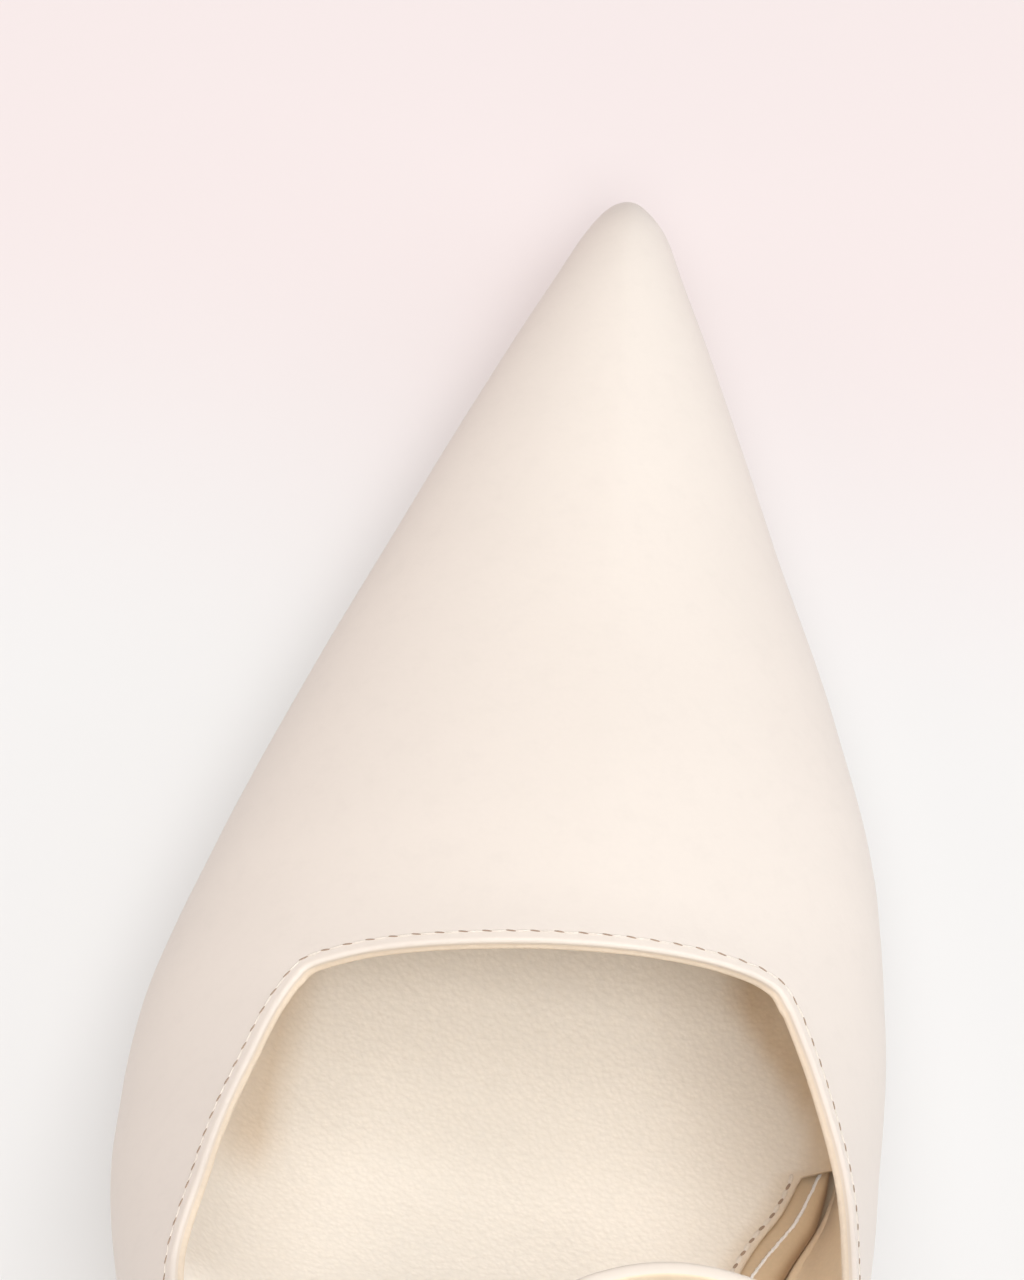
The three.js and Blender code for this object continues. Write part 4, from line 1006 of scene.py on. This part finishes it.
def sock_cove(z, s, loops):
    """In the forefoot the sock's edges turn up the walls: a square law over the outer
    12 mm of its width, less near the inner step, and outward by as much room as the wall
    leaves there. The moves of the sections' points, and how much painted shade browns the
    skin at each: most in the valley where it starts to bend."""
    x = loops[:, :, 0] - swing(z, s)[:, None]
    half = np.where(x > 0, sock_half(z, s, 1)[:, None], sock_half(z, s, -1)[:, None])
    step = np.where(x > 0, SOCK_STEP[1], SOCK_STEP[-1])
    at = np.broadcast_to(s[:, None], x.shape)
    wide = np.where(x > 0, 3.5 * MM + 8.5 * MM * (1 - fade(0.34, step, at)), 11.5 * MM)
    zone = np.minimum(wide, 0.35 * half)
    tall = np.minimum(7 * MM, 0.3 * half) * (1 - 0.88 * fade(step - 0.03, step, at))
    tall = tall * (1 - fade(step, step + SOCK_STEP_LONG, at))
    into = np.abs(x) - half + zone
    k = np.clip(into / zone, 0, 1) ** 2
    move = np.stack([np.sign(x) * k * tall * 0.2, np.zeros_like(x), k * tall], -1)
    ends = np.where(x > 0, fade(step, step + SOCK_STEP_LONG, at), fade(0.44, 0.475, at))
    # Painted shade in the valley where the sock bends up, and on the wall above it.
    sock_shade = (np.where(x > 0, 0.5, 0.4) * gauss(into, 2.4 * MM, 2.2 * MM)
            + np.where(x > 0, 0.7, 0.4) * fade(0, 4 * MM, into)) * (1 - ends)
    # Painted shade also along the sock's edges from the step back.
    beside = 0.6 * fade(half - 3.5 * MM, half, np.abs(x)) * fade(step - 0.004, step, at)
    return move, np.clip(np.maximum(sock_shade, beside), 0, 1).ravel()


def build_insole(z, m):
    """Insole board with its leather wrap: a bare flat top, the wrap's raw step, a band
    that rolls over the edge and goes under."""
    # Distance in from the edge, height over the insole line, in millimetres.
    w = z.wrap / MM
    profile = np.array([
        [1.6, 0.0], [0.7, 0.08], [0.22, 0.45], [0.02, 1.0], [0.0, 1.5], [0.08, 2.0],
        [0.32, 2.5], [0.75, 2.95], [1.3, 3.25], [1.9, 3.4], [w - 0.35, 3.42],
        [w - 0.12, 3.38], [w - 0.02, 3.25], [w, 3.0], [w + 0.5, 3.0]])
    (first, final), middle = INSOLE_ENDS, z.board / 2
    s = plate_shares(first, final, 320, 0.0001)
    from_end = z.plan * np.minimum(s - first, final - s)
    close = np.sqrt(1 - (1 - np.clip(from_end / middle, 0, 1)) ** 2)
    narrow = wrap_width(z, s) / z.wrap
    columns = {}
    for side in (-1, 1):
        columns[side] = []
        for e, h in profile:
            x = inside_edge(z, s, side, e * MM * (1 if h < 2.2 else narrow))
            high = base(z, s) + middle + (h * MM - middle) * close
            columns[side].append(np.stack([swing(z, s) + side * x, ahead(z, s), high], 1))
    inner = [columns[1][-1] + (columns[-1][-1] - columns[1][-1]) * f
             for f in np.linspace(0, 1, 22)[1:-1]]
    under = [columns[-1][0] + (columns[1][0] - columns[-1][0]) * f
             for f in np.linspace(0, 1, 12)[1:-1]]
    loops = np.stack(columns[1] + inner + columns[-1][::-1] + under, 1)
    # Painted shade: the wrap is tinted browner low on its roll beside the vamp, where it meets the
    # upper.
    low = gauss(profile[:, 0], 0, 0.9)
    round_ = np.concatenate([low, np.zeros(len(inner)), low[::-1], np.zeros(len(under))])
    roll = 0.8 * (1 - fade(0.5, 0.58, s))[:, None] * round_
    insole = loft("insole_wrap", loops, m["wrap"], [("rim", roll.ravel())])
    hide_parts("insole")


def tube(name, path, radius, material, sides=10, closed=False, rough=0.0):
    """A round tube about a path; rough moves its points in and out at random."""
    if closed:
        t = unit(np.roll(path, -1, 0) - np.roll(path, 1, 0))
    else:
        t = unit(np.gradient(path, axis=0))
    guide = np.array([0.12, 0.08, 1.0])
    u = unit(guide - t * (t @ guide)[:, None])
    r = np.full((len(path), sides), radius)
    if rough:
        r += np.random.default_rng(4).uniform(-rough, rough, r.shape)
    loops = tube_loops(path, u, np.cross(t, u), r, sides)
    return torus(name, loops, material) if closed else loft(name, loops, material)


TIP_DEPTH, TIP_HALF = 5.6 * MM, 5.2 * MM


def tip_half(y):
    """Half width of the heel's tip: straight ahead of its centre, round behind it."""
    return TIP_HALF * np.sqrt(np.clip(1 - np.clip(-y / TIP_DEPTH, 0, 1) ** 2.4, 0, 1))


def heel_ring(back, front, half_at, hollow, corner, sides=36, breast=14):
    """Half a ring: x, y and the share from back to front, along a side and the breast."""
    u = (1 - np.cos(math.pi * np.arange(sides + 1) / sides)) / 2
    y = back + (front - back) * u
    gap = np.clip(1 - (front - y) / corner, 0, 1)
    x = half_at(y) - corner * (1 - np.sqrt(1 - gap * gap))
    x[0] = 0
    f = np.arange(1, breast + 1) / breast
    return (np.concatenate([x, x[-1] * (1 - f)]),
            np.concatenate([y, front - hollow * np.sin(math.pi / 2 * f)]),
            np.concatenate([u, np.ones(breast)]))


def both_sides(x, y, u):
    """The half ring and its mirror, as one loop."""
    back = slice(-2, 0, -1)
    return (np.concatenate([x, -x[back]]), np.concatenate([y, y[back]]),
            np.concatenate([u, u[back]]))


def build_heel(z, m):
    """Covered heel: rings between the tip's outline and the seat's, each point pulled
    from one to the other by the flare's shares of its height, and the top piece."""
    def share(y):
        return 1 - (y + z.setback) / z.plan

    def roof(y):
        return outsole_low(z, share(y)) - z.fit

    back, front = HEEL_BACK - z.setback, HEEL_BREAST - z.setback

    def seat_half(y):
        s = share(y)
        return np.minimum(sole_half(z, s, 1), sole_half(z, s, -1)) - HEEL_BACK

    x1, y1, u = both_sides(*heel_ring(back, front, seat_half, 2.5 * MM, 4 * MM))
    x0, y0, _ = both_sides(*heel_ring(-TIP_DEPTH, TIP_DEPTH, tip_half, 0, 2 * MM))
    levels = np.concatenate([[0, 0.004], np.linspace(0.02, 0.985, 60), [0.994, 1]])
    floor = z.tip + z.fit
    loops = []
    for f in levels:
        b, r, w = (cubic(HEEL["height"], HEEL[k], f) for k in ("back", "front", "width"))
        pull = b + (r - b) * u
        ends = min(1.0, min(f, 1 - f) / 0.006)
        shrink = 1 - 0.02 * (1 - ends)
        loops.append(np.stack([(x0 + (x1 - x0) * w) * shrink, y0 + (y1 - y0) * pull,
                               floor + (roof(y1) - floor) * f], 1))
    middle = (back + front) / 2
    for scale in (0.8, 0.6, 0.4, 0.2, 0.04):
        y = middle + (y1 - middle) * scale
        loops.append(np.stack([x1 * scale, y, roof(y)], 1))
    heel = loft("heel_cover", loops, m["leather"])
    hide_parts("heel")

    loops = []
    for h, inset in ((0, 0.7), (0.15, 0.5), (0.4, 0.4), (3, 0.2), (5.5, 0.02), (6, 0.05)):
        scale = 1 - inset * MM / TIP_HALF
        loops.append(np.stack([x0 * scale, y0 * scale, np.full(len(x0), h * MM)], 1))
    pad = loft("top_piece_pad", loops, m["rubber"])
    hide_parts("top_piece")


def strap_loops(p, n, z, end_round):
    """Sections of a folded-edge strap: flat faces, softly rounded edges, a slightly
    padded outer face with a trough under each stitch row, and rounded ends."""
    t, up, out = path_axes(p, n)
    w, h = z.strap_width / 2, z.strap_thick / 2
    run = length_along(p)
    half = np.full(len(p), w)
    for first, on in zip((True, False), end_round):
        if on:
            d = run if first else run[-1] - run
            k = np.clip(d / (0.8 * w), 0.003, 1)
            half = np.minimum(half, w * (1 - (1 - k) ** 2) ** 0.42)
    # Outer face, edge, inner face, edge: shares across and depth, in strap units.
    u = np.linspace(0.93, -0.93, 25)
    bead = 0.07 * gauss(np.abs(u), 0.88, 0.06)
    trough = -0.12 * gauss(np.abs(u), ROW_AT, 0.05)
    face = list(zip(u, 0.93 + bead + trough + 0.05 * (1 - u ** 2)))
    edge = [(-0.985, 0.72), (-1.0, 0.3), (-1.0, -0.3), (-0.985, -0.72)]
    inner = [(q, -0.96) for q in np.linspace(-0.93, 0.93, 9)]
    other = [(-q, v) for q, v in edge[::-1]]
    profile = np.array(face + edge + inner + other)
    loops = (p[:, None] + up[:, None] * (half[:, None] * profile[:, 0])[..., None]
             + out[:, None] * (h * profile[:, 1])[None, :, None])
    return loops, (len(face), len(edge), len(inner)), (t, up, out, half)


def build_strap(name, node, z, m, p, n, end_round):
    """A strap with leather outside and round its edges, lining inside, and two rows of
    stitches."""
    loops, (face, edge, inner), (t, up, out, half) = strap_loops(p, n, z, end_round)
    points, faces = closed_loft(loops)
    turned = outward(points, faces)
    inside = np.zeros(loops.shape[1], bool)
    inside[face + edge - 1:face + edge + inner + 1] = True
    flat = np.tile(inside, len(loops))
    which = np.concatenate([np.where(flat[f].all(1), 1, 0) for f in turned])
    # Painted shade: the strap's rounded edges get a little of the darker edge tint.
    rim = np.zeros(loops.shape[1])
    rim[face:face + edge] = rim[face + edge + inner:] = 0.12
    piece = make(name, points, turned, [m["strap"], m["quarter"]], which,
                 [("rim", np.tile(rim, len(loops)))])
    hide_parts(node)
    keep = slice(4, len(p) - 4)
    for k, sign in enumerate((1, -1)):
        q = (p + up * (sign * ROW_AT * half)[:, None] + out * (0.86 * z.strap_thick / 2))[keep]
        stitches(f"{name}_stitches_{k + 1}", q, t[keep], out[keep], z.stitch, m, 0.02 * MM)


def build_sling(z, m):
    """The sling strap."""
    build_strap("sling_leather", "sling_strap", z, m, *sling_path(z, 260), (False, False))


def build_ankle(z, m):
    """The ankle strap, its free end rounded to a blunt point."""
    build_strap("ankle_leather", "ankle_strap", z, m, *ankle_path(z, 300), (False, True))


def rounded(length_, height, radius, steps):
    """A rounded rectangle about the origin."""
    out = []
    for sa, su, start in ((1, 1, 0), (-1, 1, 90), (-1, -1, 180), (1, -1, 270)):
        a = np.radians(start + np.linspace(0, 90, steps + 1))
        out.append(np.stack([sa * (length_ / 2 - radius) + radius * np.cos(a),
                             su * (height / 2 - radius) + radius * np.sin(a)], 1))
    return np.concatenate(out)


def build_buckle(z, m):
    """Buckle frame and prong of polished wire, and the leather keeper loop."""
    run = ankle_at(z, 0, 0)[2]
    o, along, up, out = strap_axes(z, BUCKLE_AT + BUCKLE_LONG / 2 / run)
    rod, front = 0.55 * MM, over(z)
    rect = rounded(BUCKLE_LONG, BUCKLE_TALL, 2.2 * MM, 8)
    dense = []
    for a, b in zip(rect, np.roll(rect, -1, 0)):
        k = max(1, int(np.linalg.norm(b - a) / (0.6 * MM)))
        dense.append(a + (b - a) * (np.arange(k) / k)[:, None])
    rect = np.concatenate(dense)
    path = (o + along * rect[:, :1] + up * rect[:, 1:]
            + out * (front * (0.5 + rect[:, :1] / BUCKLE_LONG)))
    buckle = tube("buckle_wire", path, BUCKLE_WIRE, m["metal"], 18, closed=True)
    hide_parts("buckle_frame")

    rest, low = front + BUCKLE_WIRE + z.fit + rod, z.strap_thick / 2 + z.fit + rod
    knots = np.array([[-0.06, low + 2.2 * rod], [0.11, low + 2.2 * rod], [0.3, rest - rod],
                      [0.46, rest], [0.59, rest - 0.2 * rod]])
    knots = o + along * (knots[:, :1] * BUCKLE_LONG) + out * knots[:, 1:]
    line = spline(knots, np.linspace(0, 1, 40), even=False)
    v = unit(np.cross(unit(np.gradient(line, axis=0)), up))
    d = np.clip(np.linspace(0, 1, 40), 0.02, 0.98)
    r = rod * np.sqrt(np.clip(1 - (2 * d - 1) ** 18, 0.02, 1))
    loops = tube_loops(line, np.broadcast_to(up, v.shape), v, r[:, None], 14)
    prong = loft("prong_wire", loops, m["metal"])
    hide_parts("buckle_prong")

    o, along, up, out = strap_axes(z, KEEPER_AT)
    inner, outer = -z.strap_thick / 2 - z.fit, over(z) + z.strap_thick / 2 + z.fit
    thick, w = 0.9 * MM, 1.7 * MM
    inside = rounded(outer - inner, z.strap_width + 2 * z.fit, 0.5 * MM, 6)
    outside = rounded(outer - inner + 2 * thick, z.strap_width + 2 * z.fit + 2 * thick,
                      1.4 * MM, 6)
    middle = (inner + outer) / 2
    # Across the loop's band: inner face, then the rounded edges and the outer face.
    profile = [(-0.86, 0), (0.86, 0), (0.97, 0.12), (1, 0.4), (0.97, 0.8), (0.8, 0.99),
               (0.3, 1.03), (-0.3, 1.03), (-0.8, 0.99), (-0.97, 0.8), (-1, 0.4), (-0.97, 0.12)]
    loops = [[o + along * (w * k) + out * (middle + a[0] + (b[0] - a[0]) * g)
              + up * (a[1] + (b[1] - a[1]) * g) for k, g in profile]
             for a, b in zip(inside, outside)]
    keeper = torus("keeper_leather", loops, m["leather"])
    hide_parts("keeper_loop")


# The photograph's camera: what it looks at, its axes, distance and focal length.
LOOK_AT = Vector((-4.81, 191.87 - 21, 16.29)) * MM
CAMERA_RIGHT = Vector((0.990, 0.081, 0.119))
CAMERA_UP = Vector((-0.119, 0.924, 0.363))
CAMERA_BACK = Vector((-0.081, -0.373, 0.924))
CAMERA_DISTANCE = 1.0
CAMERA_LENS = 270.0
FLOOR_HALF = 12.0


def build_stage(m):
    """Plain floor, soft studio light and the camera at the photograph's angle."""
    mesh = bpy.data.meshes.new("floor")
    r = FLOOR_HALF
    mesh.from_pydata([(-r, -r, 0), (r, -r, 0), (r, r, 0), (-r, r, 0)], [], [(0, 1, 2, 3)])
    mesh.materials.append(m["floor"])
    floor = placed("floor", mesh)

    world = bpy.data.worlds.new("studio")
    world.use_nodes = True
    background = world.node_tree.nodes["Background"]
    background.inputs["Color"].default_value = linear("#FFFDFC")
    # The room is dim beside the lamps, but its backdrop is seen as pale as the table.
    rays = world.node_tree.nodes.new("ShaderNodeLightPath")
    seen = world.node_tree.nodes.new("ShaderNodeMapRange")
    seen.inputs["To Min"].default_value = 0.10
    seen.inputs["To Max"].default_value = 0.90
    world.node_tree.links.new(rays.outputs["Is Camera Ray"], seen.inputs["Value"])
    world.node_tree.links.new(seen.outputs[0], background.inputs["Strength"])
    bpy.context.scene.world = world

    for name, place, size, power, tint in (
            ("overhead", (0.0, 0.1, 1.9), 1.6, 23.6, "#FFFFFF"),
            ("behind", (0.1, -0.7, 1.7), 1.0, 17.2, "#FFFFFF"),
            ("left", (-1.4, 0.2, 0.8), 1.4, 8.0, "#FFEFEC"),
            ("right", (1.4, 0.3, 0.8), 1.4, 10.4, "#FCFAFF")):
        data = bpy.data.lights.new(name, "AREA")
        data.shape, data.size = "SQUARE", size
        data.energy, data.color = power, linear(tint)[:3]
        light = placed(name, data)
        light.location = place
        aim = Vector((0, 0.1, 0.03)) - Vector(place)
        light.rotation_mode = "QUATERNION"
        light.rotation_quaternion = aim.to_track_quat("-Z", "Y")

    data = bpy.data.cameras.new("camera")
    data.lens, data.sensor_width, data.sensor_fit = CAMERA_LENS, 36.0, "AUTO"
    data.clip_start, data.clip_end = 0.05, 30.0
    camera = placed("camera", data)
    turn = Matrix((CAMERA_RIGHT, CAMERA_UP, CAMERA_BACK)).transposed()
    stand = Matrix.Translation(LOOK_AT + CAMERA_BACK * CAMERA_DISTANCE)
    camera.matrix_world = stand @ turn.to_4x4()
    bpy.context.scene.camera = camera
    bpy.context.scene.view_settings.view_transform = "Standard"


class SHOE_OT_upper(bpy.types.Operator):
    """Build the upper with its rolled rim and stitches"""
    bl_idname = "shoe.upper"
    bl_label = "Upper"
    bl_options = {"REGISTER", "UNDO"}

    def execute(self, context):
        build_upper(context.scene.shoe_sizes, materials(context.scene.shoe_colours))
        return {"FINISHED"}


class SHOE_OT_sole(bpy.types.Operator):
    """Build the outsole, the wrapped insole and the sock"""
    bl_idname = "shoe.sole"
    bl_label = "Sole and insole"
    bl_options = {"REGISTER", "UNDO"}

    def execute(self, context):
        build_sole(context.scene.shoe_sizes, materials(context.scene.shoe_colours))
        return {"FINISHED"}


class SHOE_OT_heel(bpy.types.Operator):
    """Build the covered heel and its top piece"""
    bl_idname = "shoe.heel"
    bl_label = "Heel"
    bl_options = {"REGISTER", "UNDO"}

    def execute(self, context):
        build_heel(context.scene.shoe_sizes, materials(context.scene.shoe_colours))
        return {"FINISHED"}


class SHOE_OT_sling(bpy.types.Operator):
    """Build the strap behind the heel"""
    bl_idname = "shoe.sling"
    bl_label = "Sling strap"
    bl_options = {"REGISTER", "UNDO"}

    def execute(self, context):
        build_sling(context.scene.shoe_sizes, materials(context.scene.shoe_colours))
        return {"FINISHED"}


class SHOE_OT_ankle(bpy.types.Operator):
    """Build the strap round the ankle"""
    bl_idname = "shoe.ankle"
    bl_label = "Ankle strap"
    bl_options = {"REGISTER", "UNDO"}

    def execute(self, context):
        build_ankle(context.scene.shoe_sizes, materials(context.scene.shoe_colours))
        return {"FINISHED"}


class SHOE_OT_buckle(bpy.types.Operator):
    """Build the buckle, its prong and the keeper"""
    bl_idname = "shoe.buckle"
    bl_label = "Buckle and keeper"
    bl_options = {"REGISTER", "UNDO"}

    def execute(self, context):
        build_buckle(context.scene.shoe_sizes, materials(context.scene.shoe_colours))
        return {"FINISHED"}


class SHOE_OT_stage(bpy.types.Operator):
    """Build the floor, the lights and the camera"""
    bl_idname = "shoe.stage"
    bl_label = "Studio"
    bl_options = {"REGISTER", "UNDO"}

    def execute(self, context):
        build_stage(materials(context.scene.shoe_colours))
        return {"FINISHED"}


OPERATORS = (SHOE_OT_upper, SHOE_OT_sole, SHOE_OT_heel, SHOE_OT_sling, SHOE_OT_ankle,
             SHOE_OT_buckle, SHOE_OT_stage)


class SHOE_PT_panel(bpy.types.Panel):
    """Sizes, colours and one button for each group of pieces."""
    bl_label = "Slingback pump"
    bl_idname = "SHOE_PT_panel"
    bl_space_type = "VIEW_3D"
    bl_region_type = "UI"
    bl_category = "Shoe"

    def draw(self, context):
        for cls in OPERATORS:
            self.layout.operator(cls.bl_idname)
        for group in (context.scene.shoe_sizes, context.scene.shoe_colours):
            column = self.layout.column(align=True)
            for name in group.__annotations__:
                column.prop(group, name)


CLASSES = (ShoeSizes, ShoeColours, *OPERATORS, SHOE_PT_panel)


def register():
    for cls in CLASSES:
        bpy.utils.register_class(cls)
    bpy.types.Scene.shoe_sizes = bpy.props.PointerProperty(type=ShoeSizes)
    bpy.types.Scene.shoe_colours = bpy.props.PointerProperty(type=ShoeColours)


def unregister():
    del bpy.types.Scene.shoe_colours
    del bpy.types.Scene.shoe_sizes
    for cls in reversed(CLASSES):
        bpy.utils.unregister_class(cls)


def main():
    """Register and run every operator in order."""
    register()
    for step in (bpy.ops.shoe.upper, bpy.ops.shoe.sole, bpy.ops.shoe.heel, bpy.ops.shoe.sling,
                 bpy.ops.shoe.ankle, bpy.ops.shoe.buckle, bpy.ops.shoe.stage):
        if step() != {"FINISHED"}:
            raise RuntimeError(f"{step.idname_py()} didn't finish")


if __name__ == "__main__":
    main()
